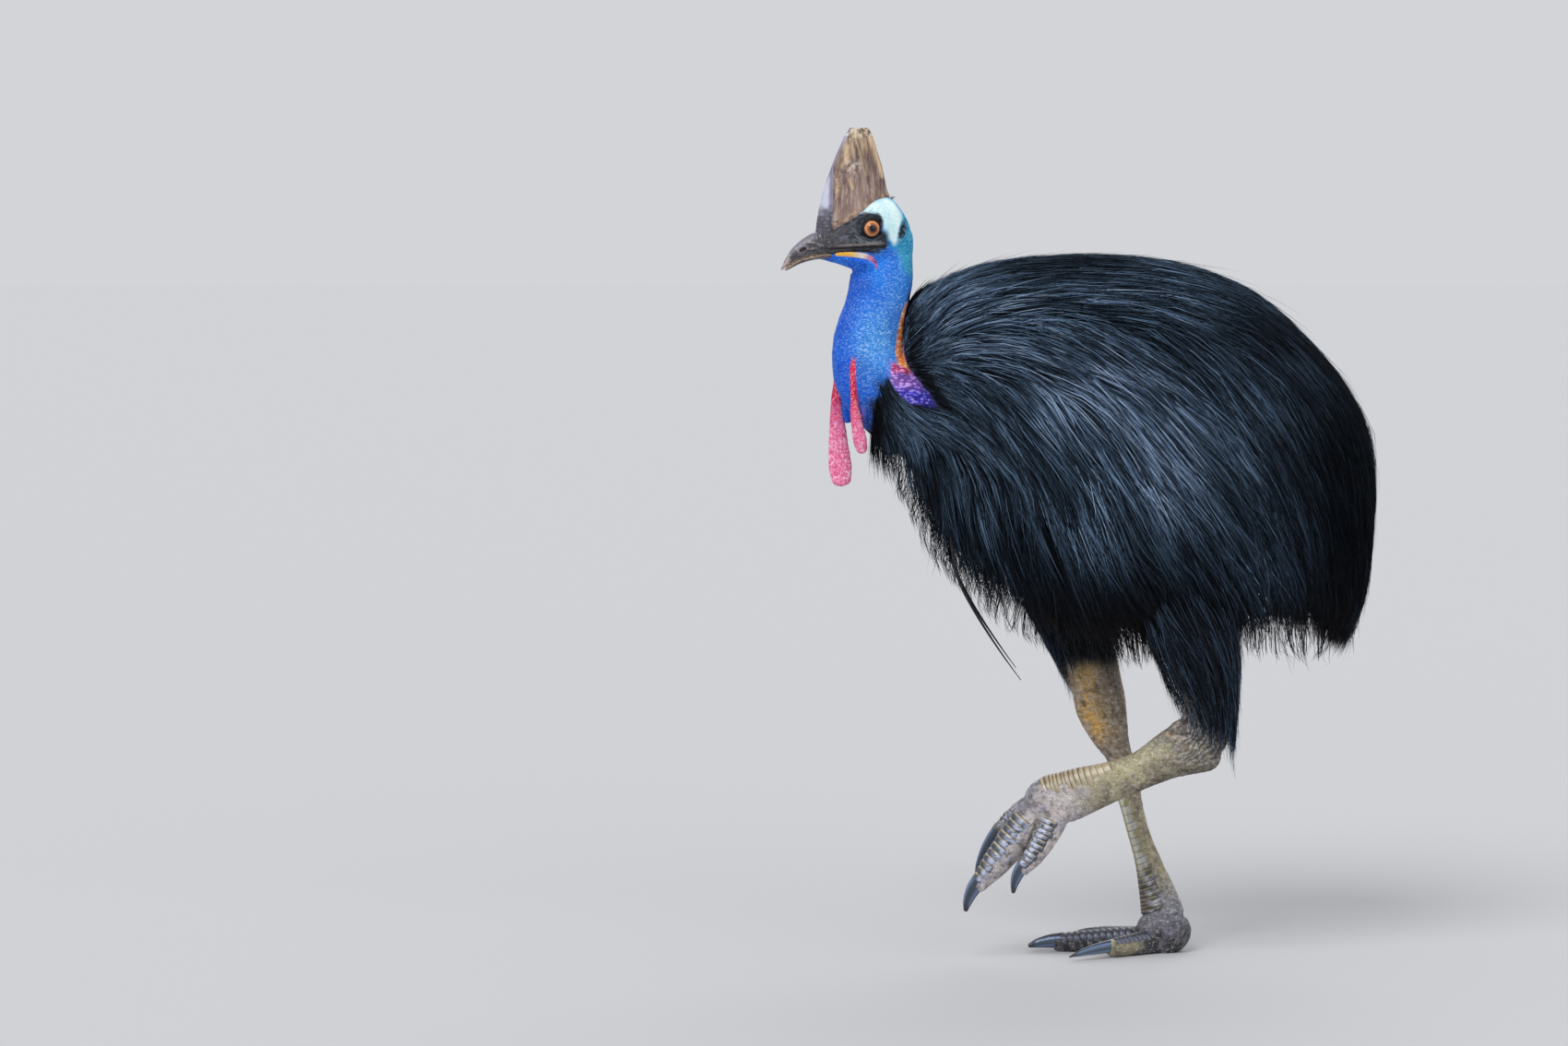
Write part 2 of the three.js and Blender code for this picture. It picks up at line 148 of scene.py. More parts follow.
def closed_tube(rows, ends):
    """Points, four-sided faces and three-sided faces of a tube over rings, closed by a fan at each end."""
    count, sides = rows.shape[:2]
    grid = np.arange(count * sides).reshape(count, sides)
    following = np.roll(grid, -1, axis=1)
    quads = np.stack([grid[:-1], following[:-1], following[1:], grid[1:]], axis=-1).reshape(-1, 4)
    first = np.full(sides, count * sides)
    fans = np.concatenate([
        np.stack([first, following[0], grid[0]], axis=-1),
        np.stack([first + 1, grid[-1], following[-1]], axis=-1),
    ])
    return np.concatenate([rows.reshape(-1, 3), np.array(ends)]), quads, fans


def place_mesh(name, points, *faces):
    """A smooth object of these points, in millimetres, and arrays of faces."""
    mesh = bpy.data.meshes.new(name)
    mesh.vertices.add(len(points))
    mesh.vertices.foreach_set("co", (np.asarray(points) * MM).ravel())
    sides = np.concatenate([np.full(len(f), f.shape[1]) for f in faces])
    corners = np.concatenate([np.asarray(f).ravel() for f in faces])
    mesh.loops.add(len(corners))
    mesh.loops.foreach_set("vertex_index", corners.astype(np.int32))
    mesh.polygons.add(len(sides))
    mesh.polygons.foreach_set("loop_start", (np.cumsum(sides) - sides).astype(np.int32))
    mesh.polygons.foreach_set("use_smooth", np.ones(len(sides), bool))
    mesh.update(calc_edges=True)
    thing = bpy.data.objects.new(name, mesh)
    bpy.context.scene.collection.objects.link(thing)
    return thing


def together(parts):
    """Several sets of points and faces as one set, the faces of each kind gathered."""
    points, kinds, start = [], {}, 0
    for found, *faces in parts:
        points.append(found)
        for f in faces:
            if len(f):
                kinds.setdefault(f.shape[1], []).append(f + start)
        start += len(found)
    return np.concatenate(points), *(np.concatenate(k) for k in kinds.values())


def settle(thing, **modifiers):
    """Adds modifiers by kind, each with its settings, and keeps their result as the thing's own mesh."""
    for kind, settings in modifiers.items():
        modifier = thing.modifiers.new(kind, kind.upper())
        for key, value in settings.items():
            setattr(modifier, key, value)
    graph = bpy.context.evaluated_depsgraph_get()
    mesh = bpy.data.meshes.new_from_object(thing.evaluated_get(graph))
    thing.modifiers.clear()
    thing.data = mesh
    mesh.polygons.foreach_set("use_smooth", np.ones(len(mesh.polygons), bool))
    return thing


def read(mesh, what, size=3, kind=np.float32):
    """One property of all the mesh's points."""
    values = np.empty(len(mesh.vertices) * size, kind)
    mesh.vertices.foreach_get(what, values)
    return values.reshape(-1, size).astype(float)


def fused(name, parts, voxel, smoothing=4):
    """Lofts grown together into one skin: their union, with the creases between them softened."""
    thing = place_mesh(name, *together(parts))
    settle(thing, remesh=dict(mode="VOXEL", voxel_size=voxel * MM, use_smooth_shade=True))
    return settle(thing, smooth=dict(factor=0.5, iterations=smoothing))


def thinned(thing, triangles, **settings):
    """Brings a thing down to about this many triangles."""
    full = sum(len(face.vertices) - 2 for face in thing.data.polygons)
    settle(thing, decimate=dict(ratio=triangles / full, use_collapse_triangulate=True, **settings))


TRUNK_SKIN = [
    [-306, 1102, 862, 930, 44], [-275, 1126, 790, 925, 66], [-222, 1156, 715, 910, 96],
    [-117, 1178, 655, 860, 142], [23, 1186, 632, 815, 178], [163, 1172, 630, 800, 186],
    [293, 1120, 640, 800, 160], [385, 1026, 680, 800, 116], [432, 930, 745, 820, 56],
]


def upright(sections, **shape):
    """A loft from rows of x, top, bottom, height of the widest line and half width."""
    rows = [[x, 0, z, half, top - z, z - low] for x, top, low, z, half in sections]
    return Loft(rows, facing=TAILWARD, **shape)


trunk_skin = upright(TRUNK_SKIN, power=2.15, domes=(8, 14))

# The neck: bare blue skin, loose in front where it hangs as two tongues behind the wattles, and beaded at
# its foot. The head turns a little towards the bird's left about the top of the neck.
neck_form = Loft([
    [-212, 0, 898, 78, 78], [-297, 0, 943, 62, 76], [-355, 0, 998, 50, 71], [-369, 0, 1058, 43, 62],
    [-357, 0, 1118, 39, 54], [-346, 0, 1173, 37, 53], [-338, 0, 1223, 34, 45],
], domes=(20, 24))
neck_tongues = [
    Loft([[-392, 10, 1010, 14, 20], [-400, 12, 965, 9, 18], [-405, 13, 928, 6, 8]], domes=(6, 8)),
    Loft([[-368, -30, 1010, 16, 18], [-374, -34, 968, 10, 14], [-375, -35, 934, 6, 7]], domes=(6, 8)),
]
HEAD_YAW = math.radians(12)
HEAD_PIVOT = np.array([-327.0, 0, 0])


def turned(points, angle=HEAD_YAW):
    """Points turned with the head about the neck. The opposite angle brings them back."""
    c, s = math.cos(angle), math.sin(angle)
    spin = np.array([[c, s, 0], [-s, c, 0], [0, 0, 1]])
    return (np.asarray(points) - HEAD_PIVOT) @ spin + HEAD_PIVOT


# The head: a low wedge of thin black and sky-blue skin over the skull, from the bill's root to the round
# nape.
head_form = upright([
    [-455, 1259, 1204, 1230, 15.5], [-429, 1280, 1197, 1228.5, 25], [-397, 1295, 1189, 1231, 32],
    [-364, 1312, 1184, 1240.5, 37], [-334, 1309, 1184, 1244, 36], [-317, 1292, 1190, 1241, 32],
    [-304, 1271, 1198, 1236, 25], [-296.5, 1251, 1206, 1230, 15],
], power=2.3, domes=(5, 3))
chin_form = upright([
    [-464, 1214, 1206.5, 1210, 9], [-447, 1215, 1203.5, 1210, 14], [-430, 1216, 1198, 1208, 19],
    [-408, 1216, 1190.5, 1205, 25], [-386, 1216, 1180, 1200, 28], [-368, 1216, 1166, 1196, 28],
], domes=(4, 8))

# The wattles: two soft lobes of pitted red skin that hang from the front of the neck, the right one longer.
wattle_forms = [
    Loft([
        [-414, 14, 1040, 4, 4.5], [-421, 20, 1015, 5.5, 6], [-424, 24, 963, 7, 9.5],
        [-422, 22, 903, 8, 15], [-418, 18, 848, 8.5, 20], [-416, 16, 822, 7, 17],
    ], domes=(6, 12)),
    Loft([
        [-394, -36, 1038, 4, 3], [-397, -41, 1008, 4.5, 3.6], [-396, -44, 975, 5.5, 5],
        [-391, -42, 930, 7, 9], [-385, -38, 896, 8, 12], [-382, -36, 882, 7, 10.5],
    ], domes=(6, 12)),
]

# One skin over head, neck and wattles. It is grown fine enough for lids, folds and beads, then shaped by
# listed moves along its own surface: sockets and lids, the brow, ear pits, folds of the gape, wrinkles of
# throat and neck.
turned_parts = [(turned(at), *faces) for at, *faces in (head_form.mesh(64, 10), chin_form.mesh(48, 8))]
still_parts = [neck_form.mesh(64, 8)] + [form.mesh(40, 8) for form in neck_tongues + wattle_forms]
upper = fused("skin", turned_parts + still_parts, voxel=1.25, smoothing=6)


LATTICE = np.array([73856093, 19349663, 83492791])


def lumps(points, size, seed, upright=1):
    """Smooth random values from 0 to 1, one for each point, in lumps of this size, squeezed in height."""
    cell = points * [1, 1, upright] / size
    base = np.floor(cell).astype(np.int64)
    part = cell - base
    part = part * part * (3 - 2 * part)
    total = np.zeros(len(points))
    for corner in np.ndindex(2, 2, 2):
        key = base + corner
        mixed = np.bitwise_xor.reduce(key * LATTICE, axis=1) ^ (seed * 2654435761)
        mixed = (mixed ^ (mixed >> 13)) * 1274126177
        value = ((mixed ^ (mixed >> 16)) & 0xFFFFFF) / 0xFFFFFF
        total += value * np.prod(np.where(corner, part, 1 - part), axis=1)
    return total


def hill(distance, width):
    """1 at no distance, falling softly to 0 beyond a few widths."""
    return np.exp(-((distance / width) ** 2))


def near_line(points, line):
    """How far points in a plane are from a bent line, and how far along it (0 to 1) they come nearest."""
    line = np.array(line, float)
    best, share = np.full(len(points), 1e9), np.zeros(len(points))
    for k, (a, b) in enumerate(zip(line[:-1], line[1:])):
        t = np.clip(((points - a) @ (b - a)) / ((b - a) @ (b - a)), 0, 1)
        gap = np.linalg.norm(points - (a + t[:, None] * (b - a)), axis=1)
        closer = gap < best
        best = np.where(closer, gap, best)
        share = np.where(closer, (k + t) / (len(line) - 1), share)
    return best, share


def stroke(points, line, width):
    """A soft stroke along a bent line in a plane: 1 on it, 0 well beyond its width."""
    return hill(near_line(points, line)[0], width)


def oval(points, x, z, wide, tall):
    """A soft oval about a place in a plane: 1 in its middle, 0 well outside it."""
    return hill(np.hypot((points[:, 0] - x) / wide, (points[:, 1] - z) / tall), 1.0)


def fold(where, points, line, height, width):
    """How far a fold of this height along a bent line lifts the skin. It runs out towards both ends."""
    gap, share = near_line(points, line)
    fade = np.sqrt(np.clip(np.sin(np.pi * np.clip(share, 0.02, 0.98)), 0, 1))
    return where * height * hill(gap, width) * fade


def within(points, outline, softness=1.0):
    """How far inside an outline in a plane points are: 1 well inside, 0 well outside, soft at the edge."""
    ring = np.array(list(outline) + [outline[0]], float)
    inside = np.zeros(len(points), bool)
    for (ax, ay), (bx, by) in zip(ring[:-1], ring[1:]):
        crosses = (ay > points[:, 1]) != (by > points[:, 1])
        at = ax + (points[:, 1] - ay) * (bx - ax) / (by - ay if by != ay else 1e-9)
        inside ^= crosses & (points[:, 0] < at)
    gap, _ = near_line(points, ring)
    return ease(-softness, softness, np.where(inside, gap, -gap))


EYE = np.array([-373.0, 26.0, 1257.5])
EYE_RADIUS = 16.5
LID_OPENING = 13.8
GAPE = [(-458, 1210), (-424, 1217.5), (-391, 1219), (-361, 1216), (-352, 1207)]
JAW_FOLD = [(-430, 1208), (-400, 1203), (-372, 1196), (-360, 1186)]
LIP = [(-470, 1224), (-426, 1228), (-392, 1229.5), (-355, 1231), (-346, 1226)]

skin_mesh = upper.data
points = read(skin_mesh, "co") / MM
outward = read(skin_mesh, "normal")
flat = turned(points, -HEAD_YAW)
flat_out = turned(outward + HEAD_PIVOT, -HEAD_YAW) - HEAD_PIVOT
lateral = np.abs(flat[:, 1])
plane = flat[:, [0, 2]]
cheek = ease(8, 18, lateral) * ease(1180, 1192, flat[:, 2]) * ease(0.2, 0.6, np.abs(flat_out[:, 1]))
push = np.zeros(len(points))

# Folds of the face, each a line with its height (below zero for a crease) and its width.
FACE_FOLDS = [
    ([(-398, 1252), (-391, 1243), (-378, 1238.5), (-362, 1240), (-352, 1249)], 1.1, 2.2),
    ([(-401, 1249), (-392, 1239), (-377, 1234.5), (-360, 1236), (-349, 1244)], -1.0, 1.6),
    ([(-408, 1245), (-395, 1236), (-376, 1231), (-358, 1232.5)], 0.9, 1.8),
    ([(-440, 1250), (-420, 1246), (-404, 1250), (-396, 1256)], -0.7, 2.4),
    ([(-446, 1240), (-424, 1238), (-404, 1242)], -0.7, 2.0),
    ([(-398, 1268), (-390, 1277), (-375, 1281.5), (-360, 1277.5), (-352, 1268)], 1.6, 2.6),
    ([(-402, 1271), (-391, 1281), (-375, 1285.5), (-358, 1281), (-349, 1270)], -1.0, 2.0),
    (LIP, 1.5, 2.6),
    ([(-470, 1219.5), (-426, 1223.5), (-392, 1225), (-355, 1226.5)], -1.6, 1.8),
    (GAPE, -2.4, 2.0),
    (JAW_FOLD, 1.6, 4.0),
    ([(-426, 1200), (-402, 1195), (-384, 1188)], -1.0, 2.4),
]
for line, height, width in FACE_FOLDS:
    push += fold(cheek, plane, line, height, width)


def ear_at(plane):
    """Where a point lies in the ear's leaning oval: 0 in its middle and 1 on its rim."""
    return np.hypot((plane[:, 0] + 317 - (plane[:, 1] - 1254) * 0.28) / 7.5, (plane[:, 1] - 1254) / 17)


# The ear: an oval pit with a raised rim, dark inside with painted shade.
ear = ear_at(plane)
push += cheek * (-2.6 * hill(ear, 0.7) + 1.2 * hill(ear - 1.2, 0.28) * (0.5 + lumps(flat, 5, 14)))
# Fine creases of the black skin between eye and bill.
LORES = [(-452, 1262), (-410, 1272), (-392, 1280), (-352, 1274), (-346, 1226), (-458, 1222)]
creased = lumps(flat, 5, 3, 2.2) - 0.5 + 0.7 * (lumps(flat * [0.8, 1, 2.6], 2.6, 4) - 0.5)
push += cheek * within(plane, LORES, 4) * 0.5 * creased

# Wrinkles of the neck run round it, broken and wavy; the throat's are deeper and stand in front.
side_view = points[:, [0, 2]]
wavy_height = points[:, 2] + 7 * (lumps(points, 26, 7) - 0.5)
on_neck = ease(1206, 1186, points[:, 2]) * ease(895, 935, points[:, 2])
front = ease(-340, -400, points[:, 0])
ripple = np.sin(wavy_height * 2 * np.pi / 6.2) * (0.25 + 0.75 * lumps(points, 15, 8))
throat = front * ease(1120, 1180, points[:, 2])
push += on_neck * ripple * (0.14 + 0.6 * throat)
push += on_neck * 0.3 * (lumps(points, 4.2, 9, 1.5) - 0.5)
push += on_neck * 2.4 * throat * (lumps(points, 17, 10, 2.2) - 0.5)
# The beaded skin at the foot of the neck.
BEADED = [
    (-330, 1028), (-306, 1018), (-277, 996), (-250, 962), (-266, 955), (-299, 959), (-321, 976),
    (-333, 1000),
]
beaded = within(side_view, BEADED, 4)
push += beaded * 3.2 * (lumps(points, 7, 11, 1.5) - 0.4)
ROPE = [(-304, 1128), (-310, 1106), (-315, 1075), (-317, 1046), (-312, 1027), (-300, 1014)]
push += stroke(side_view, ROPE, 6) * (1.0 + 2.0 * lumps(points, 8, 13)) * (points[:, 0] > -330)
# The wattles are pitted.
on_wattle = ease(1030, 1000, points[:, 2]) * ease(-372, -380, points[:, 0])
push += on_wattle * 1.3 * (lumps(points, 4.0, 12, 0.7) - 0.5)
points = points + outward * push[:, None]


def from_eye_at(flat):
    """How far a point of the head lies from the middle of the lids' opening, seen from the side."""
    return np.hypot(flat[:, 0] - EYE[0], (flat[:, 2] - EYE[2] - 0.8) / 1.07)


# Sockets and lids: the skin dips behind the ball inside the opening and rolls over its edge outside.
flat = turned(points, -HEAD_YAW)
side = np.sign(flat[:, 1])
from_eye = from_eye_at(flat)
ball = EYE[1] + np.sqrt(np.maximum(EYE_RADIUS**2 - np.minimum(from_eye, EYE_RADIUS) ** 2, 0))
depth = np.abs(flat[:, 1])
here = (depth > 20) & (from_eye < 26) & (flat[:, 2] > 1200)
lid = ball + 1.9
sunk = ball - 4.5
rolled = sunk + (lid - sunk) * ease(LID_OPENING - 1.3, LID_OPENING, from_eye)
target = np.where(from_eye < LID_OPENING, rolled, lid)
blend = 1 - ease(16.5, 21.5, from_eye)
depth = np.where(here, depth + (target - depth) * blend, depth)
flat[:, 1] = side * depth
points = turned(flat)
skin_mesh.vertices.foreach_set("co", (points * MM).ravel())

# Fewer faces on the smooth neck, all of them kept on the face.
keep = upper.vertex_groups.new(name="fine")
flat = turned(points, -HEAD_YAW)
side_view = points[:, [0, 2]]
wattle_root = stroke(side_view, [(-393, 1042), (-396, 1005), (-395, 970)], 11) * (points[:, 0] < -370)
kept_parts = [
    ease(1178, 1196, flat[:, 2]),
    within(side_view, BEADED, 4),
    0.9 * stroke(side_view, ROPE, 9),
    wattle_root * (points[:, 1] < 0),
    0.8 * ease(925, 905, points[:, 2]) * ease(-366, -374, points[:, 0]),
]
thinning = np.round((1 - 0.93 * np.max(kept_parts, axis=0)) * 10).astype(int)
for level in range(11):
    chosen = np.flatnonzero(thinning == level)
    if len(chosen):
        keep.add(chosen.tolist(), level / 10, "REPLACE")
thinned(upper, triangles=118000, vertex_group="fine", vertex_group_factor=1.0)
upper.vertex_groups.clear()

# The legs: scaled skin over bare bone and sinew below the thighs, a cushioned ball and three toes on each
# foot. The right one carries the bird. The left one is lifted, folded at the heel and swung forward with
# its toes hanging.
LEGS = {
    "left": {
        "limb": [
            [153, -108, 673, 60, 72], [175, -114, 598, 52, 62], [196, -118, 518, 42, 52],
            [210, -118, 452, 31, 40], [206, -118, 418, 30, 42], [197, -118, 386, 31, 45],
        ],
        "tarsus": [
            [195, -118, 381, 29, 53], [148, -114, 360, 25, 42], [99, -109, 333, 21, 33],
            [45, -104, 311, 21, 35], [0, -99, 295, 25, 41], [-32, -95, 283, 30, 44],
        ],
        "ball": ([-58, -92, 272], [46, 36, 46]),
        "toes": {
            "middle": ([-12, 0, -4], [-0.625, 0, -0.78], 0, 16, [28, 31, 29, 25.5, 21, 13.5]),
            "outer": ([16, -20, -8], [-0.41, -0.1, -0.9], 15, 20, [22, 21, 20, 18.5, 16.5, 11.5]),
            "inner": ([-12, 14, 2], [-0.871, 0.3, -0.388], -28, 12, [20, 20, 18, 15.5, 13, 10]),
        },
    },
    "right": {
        "limb": [
            [-38, 84, 673, 60, 72], [-22, 76, 610, 52, 64], [-2, 68, 548, 46, 56], [18, 59, 494, 40, 49],
            [31, 52, 455, 37, 44.5], [38, 50, 420, 36, 44], [52, 45, 377, 29, 34], [68, 40, 340, 23, 23],
            [75, 37, 316, 25, 26],
        ],
        "tarsus": [
            [78, 37, 312, 24, 30], [86, 31, 270, 20, 21], [100, 23, 214, 18, 18.5], [118, 15, 158, 19, 22],
            [134, 7, 104, 24, 31], [144, 2, 66, 30, 37],
        ],
        "ball": ([145, 0, 36], [48, 36, 43]),
        "toes": {
            "middle": ([-20, 0, -15], [-1, 0, -0.035], 0, 8, [24, 22, 21, 19, 17, 14]),
            "outer": ([-14, 16, -16], [-0.87, 0.49, -0.04], 0, 8, [21, 19, 18, 17, 16, 13.5]),
            "inner": ([-14, -14, -16], [-0.84, -0.54, -0.03], 0, 5, [21, 19.5, 19, 18, 17, 15]),
        },
    },
}
# Each toe's length from the ball's middle, how narrow it is for its height, and its claw's length and
# thickness.
TOES = {"middle": (190, 0.84, 48, 11), "outer": (148, 0.88, 42, 9.5), "inner": (121, 0.84, 88, 9)}


def swung(direction, axis, degrees):
    """A direction turned about an axis."""
    angle = math.radians(degrees)
    return (
        direction * math.cos(angle)
        + np.cross(axis, direction) * math.sin(angle)
        + axis * (axis @ direction) * (1 - math.cos(angle))
    )


def toe_forms(leg):
    """For each toe its loft, its end, the way that it points there, its hinge axis and its claw's droop."""
    found = {}
    for which, (start, out, bend, droop, thick) in leg["toes"].items():
        start, way = np.array(start, float), unit(np.array(out, float))
        axis = unit(SIDEWAYS - way[1] * way)
        step = (TOES[which][0] - np.linalg.norm(start)) / 5
        line = [np.array(leg["ball"][0]) + start]
        for k in range(5):
            line.append(line[-1] + step * swung(way, axis, bend * k / 4))
        rows = [[*at, half * TOES[which][1], half] for at, half in zip(line, thick)]
        found[which] = (Loft(rows, domes=(4, 9)), line[-1], swung(way, axis, bend), axis, droop)
    return found


def egg(middle, size, sides=40, rings=24):
    """A closed ball with three half sizes."""
    middle, size = np.array(middle), np.array(size, float)
    turn = np.arange(sides) / sides * 2 * np.pi
    rows = []
    for lift in (np.arange(1, rings) / rings - 0.5) * np.pi:
        ring = [np.cos(lift) * np.cos(turn), np.cos(lift) * np.sin(turn), np.full(sides, np.sin(lift))]
        rows.append(middle + size * np.stack(ring, axis=1))
    return closed_tube(np.array(rows), [middle + size * [0, 0, end] for end in (-1, 1)])


limb_forms, tarsus_forms, toes_of = {}, {}, {}
leg_parts = []
for name, leg in LEGS.items():
    limb_forms[name] = Loft(leg["limb"], domes=(20, 22))
    tarsus_forms[name] = Loft(leg["tarsus"], domes=(36, 24))
    toes_of[name] = toe_forms(leg)
    leg_parts += [limb_forms[name].mesh(48, 6), tarsus_forms[name].mesh(48, 6), egg(*leg["ball"])]
    leg_parts += [form.mesh(40, 6) for form, *_ in toes_of[name].values()]
legs = fused("legs", leg_parts, voxel=1.7, smoothing=5)

# The heel's pad and the knuckles swell, the skin folds where it bends, small round scales cover the rest,
# and the standing foot spreads flat on the floor.
leg_mesh = legs.data
points = read(leg_mesh, "co") / MM
outward = read(leg_mesh, "normal")
push = np.zeros(len(points))
side_view = points[:, [0, 2]]
# Creases of the lifted heel, in front of the joint, and long wrinkles behind it.
HEEL_CREASES = [
    [(140, 404), (165, 396), (190, 388)],
    [(150, 426), (178, 420), (205, 408)],
    [(214, 424), (228, 404), (232, 380), (220, 356)],
]
left = ease(-60, -75, points[:, 1])
for line, height, width in [
    (HEEL_CREASES[0], -2.2, 3.2),
    ([(146, 415), (172, 408), (198, 398)], 1.6, 4.0),
    ([(135, 396), (160, 386), (185, 376)], 1.2, 4.0),
    (HEEL_CREASES[1], -1.6, 3.0),
    (HEEL_CREASES[2], -1.4, 3.0),
    ([(222, 430), (238, 404), (241, 378)], 1.2, 4.0),
    ([(-70, 262), (-88, 240), (-104, 214)], -1.6, 3.0),
]:
    push += fold(left, side_view, line, height, width)
# Creases where the toes leave the standing foot.
crease = stroke(side_view, [(95, 62), (118, 66), (150, 58), (182, 62)], 3.5)
push += -1.8 * crease * (points[:, 2] < 90) * (points[:, 1] < 40)


HEEL = (205, 402, 74, 58)


def heel_waves(points):
    """Folds that run round the lifted heel's hinge, from -1 in the hollows to 1 on the ridges."""
    from_hinge = np.hypot(points[:, 0] - 128, points[:, 2] - 436)
    return np.sin(from_hinge / 9.5 * 2 * np.pi + 9 * lumps(points, 16, 69) + 4 * lumps(points, 6, 70))


# The heel is wrinkled all round where it folds, and the scales stand as low rounded grains.
bare = ease(470, 440, points[:, 2])
push += bare * oval(side_view, *HEEL) * (points[:, 1] < -50) * 1.1 * heel_waves(points)
push += bare * 0.9 * (lumps(points, 5.2, 21) - 0.5) + bare * 0.5 * (lumps(points, 3.1, 22) - 0.5)
points = points + outward * push[:, None]
points[:, 2] = np.where(points[:, 2] < 0.6, 0.0, points[:, 2])
leg_mesh.vertices.foreach_set("co", (points * MM).ravel())
thinned(legs, triangles=62000)

# The trunk's hide closes the gap between neck and thighs. It is coarse, because plumes cover all of it, and
# the three parts are joined into the one skin of the model.
trunk = fused("trunk", [trunk_skin.mesh(56, 6)], voxel=14, smoothing=2)
settle(trunk, triangulate=dict())
skin = legs
for other in (trunk, upper):
    settle(skin, boolean=dict(operation="UNION", solver="MANIFOLD", object=other))
    bpy.data.objects.remove(other)
skin.name = "skin"

# The skin's markings: black hide under the plumes, cobalt neck with pale beads, sky-blue nape and cheek,
# black face, red wattles, an orange and violet strip where neck meets coat, and olive to dark grey scales
# on the legs.
skin_mesh = skin.data
points = read(skin_mesh, "co") / MM
outward = read(skin_mesh, "normal")
flat = turned(points, -HEAD_YAW)
lateral = np.abs(flat[:, 1])
plane, side_view = flat[:, [0, 2]], points[:, [0, 2]]
x, height = side_view.T
head_x, head_z = plane.T


def shade(red, green, blue):
    """A colour given in display numbers from 0 to 255, as light."""
    value = np.array([red, green, blue]) / 255
    return np.where(value < 0.04045, value / 12.92, ((value + 0.055) / 1.055) ** 2.4)


def patchy(low, high, size, seed, upright=1):
    """Soft random patches over the skin, squeezed in height by a factor: from 0 at low to 1 at high."""
    return ease(low, high, lumps(points, size, seed, upright))


tint = np.tile(shade(13, 14, 17), (len(points), 1))


def paint(red, green, blue, mask):
    """Lays a colour, in display numbers, over the piece in hand as strongly as its mask says."""
    global tint
    mask = np.clip(mask, 0, 1)[:, None]
    tint = tint + (shade(red, green, blue) - tint) * mask


# Where the neck is bare, seen from the side: its rear edge, the beaded patch, the wedge of breast plumes in
# front of that, and the tongues that hang behind the wattles.
BARE_NECK = [
    (-303, 1140), (-303, 1127), (-309, 1106), (-310, 1044), (-305, 1023), (-288, 1003), (-270, 982),
    (-254, 962), (-267, 956), (-299, 959), (-321, 975), (-331, 994), (-335, 1003), (-340, 1011),
    (-346, 1004), (-353, 994), (-364, 962), (-366, 920), (-370, 912), (-400, 905), (-470, 905),
    (-560, 1100), (-560, 1440), (-250, 1440), (-262, 1200),
]
bare_neck = within(side_view, BARE_NECK, 2.5) * ease(770, 790, height) * ease(-240, -250, x)
bare_neck = np.maximum(bare_neck, ease(-371, -376, x) * ease(700, 720, height))
blotch = lumps(points, 22, 31)
fleck = lumps(points, 4.6, 32, 1.7)
fine = lumps(points, 2.6, 33, 1.6)
paint(0, 96, 214, bare_neck)
paint(0, 60, 166, bare_neck * 0.65 * ease(0.5, 0.15, blotch))
paint(12, 130, 238, bare_neck * 0.6 * patchy(0.45, 0.9, 30, 34))
# Pale flecks lie thickest over the middle of the neck's side and thin outwards; painted sheen lightens the
# same middle.
beads = np.maximum(oval(side_view, -356, 1068, 42, 60), 0.6 * oval(side_view, -325, 1140, 26, 70))
# Lighter blue over the middle of the neck's side: partly the thicker pale flecks, partly painted sheen.
paint(76, 158, 228, bare_neck * 0.7 * beads)
paint(0, 40, 128, bare_neck * 0.85 * ease(1000, 930, height) * ease(-395, -370, x))
# Painted shade along the neck's front outline.
paint(0, 72, 196, bare_neck * 0.6 * hill(x + 408 - 0.05 * (height - 1100), 16) * ease(1180, 1120, height))
# Turquoise towards the nape and round the ear, whitish sky blue behind and above the eye.
NAPE = [
    (-346, 1232), (-331, 1222), (-322, 1206), (-314, 1180), (-280, 1150), (-270, 1320), (-400, 1320),
    (-392, 1283), (-356, 1276),
]
nape = within(plane, NAPE, 9) * ease(1140, 1195, height)
paint(34, 158, 196, nape * (0.9 + 0.2 * (fleck - 0.5)))
paint(0, 108, 178, nape * 0.6 * ease(0.45, 0.2, fleck))
paint(130, 220, 226, nape * 0.5 * ease(0.62, 0.85, fine))
PALE = [
    (-391, 1283), (-372, 1301), (-344, 1310), (-331, 1303), (-318, 1284), (-319, 1268), (-322, 1242),
    (-333, 1229), (-345, 1241), (-352, 1258), (-355, 1274), (-364, 1284),
]
pale = within(plane, PALE, 5) * ease(4, 12, lateral)
paint(220, 240, 238, pale * (0.95 + 0.2 * (fleck - 0.5)))
paint(128, 208, 224, pale * 0.55 * ease(0.6, 0.1, 0.6 * lumps(points, 8, 35, 0.5) + 0.4 * fine))
broken = ease(0.55, 0.85, 0.7 * lumps(points, 4.6, 39, 0.7) + 0.3 * fine)
paint(40, 136, 166, pale * 0.6 * broken * ease(-345, -362, head_x))
ear = ear_at(plane)
by_ear = ease(10, 20, lateral) * (0.6 + 0.4 * ease(0.3, 0.6, fleck))
paint(22, 96, 134, ease(1.7, 0.9, ear) * by_ear * 0.9)
# Painted shade inside the ear's pit.
paint(10, 24, 38, ease(1.05, 0.6, ear + 0.25 * (fine - 0.5)) * ease(10, 20, lateral))
paint(86, 168, 188, hill(ear - 1.0, 0.4) * ease(10, 20, lateral) * ease(0.55, 0.8, fine) * 0.7)
# The black face: lores, brow and the strip under the eye down to the mouth.
FACE = [
    (-470, 1275), (-436, 1266), (-414, 1270), (-403, 1276), (-390, 1283), (-375, 1285.5), (-358, 1281),
    (-352, 1271), (-355.5, 1255), (-349, 1246), (-350, 1237), (-346, 1229), (-356, 1221), (-375, 1217),
    (-424, 1215), (-470, 1208),
]
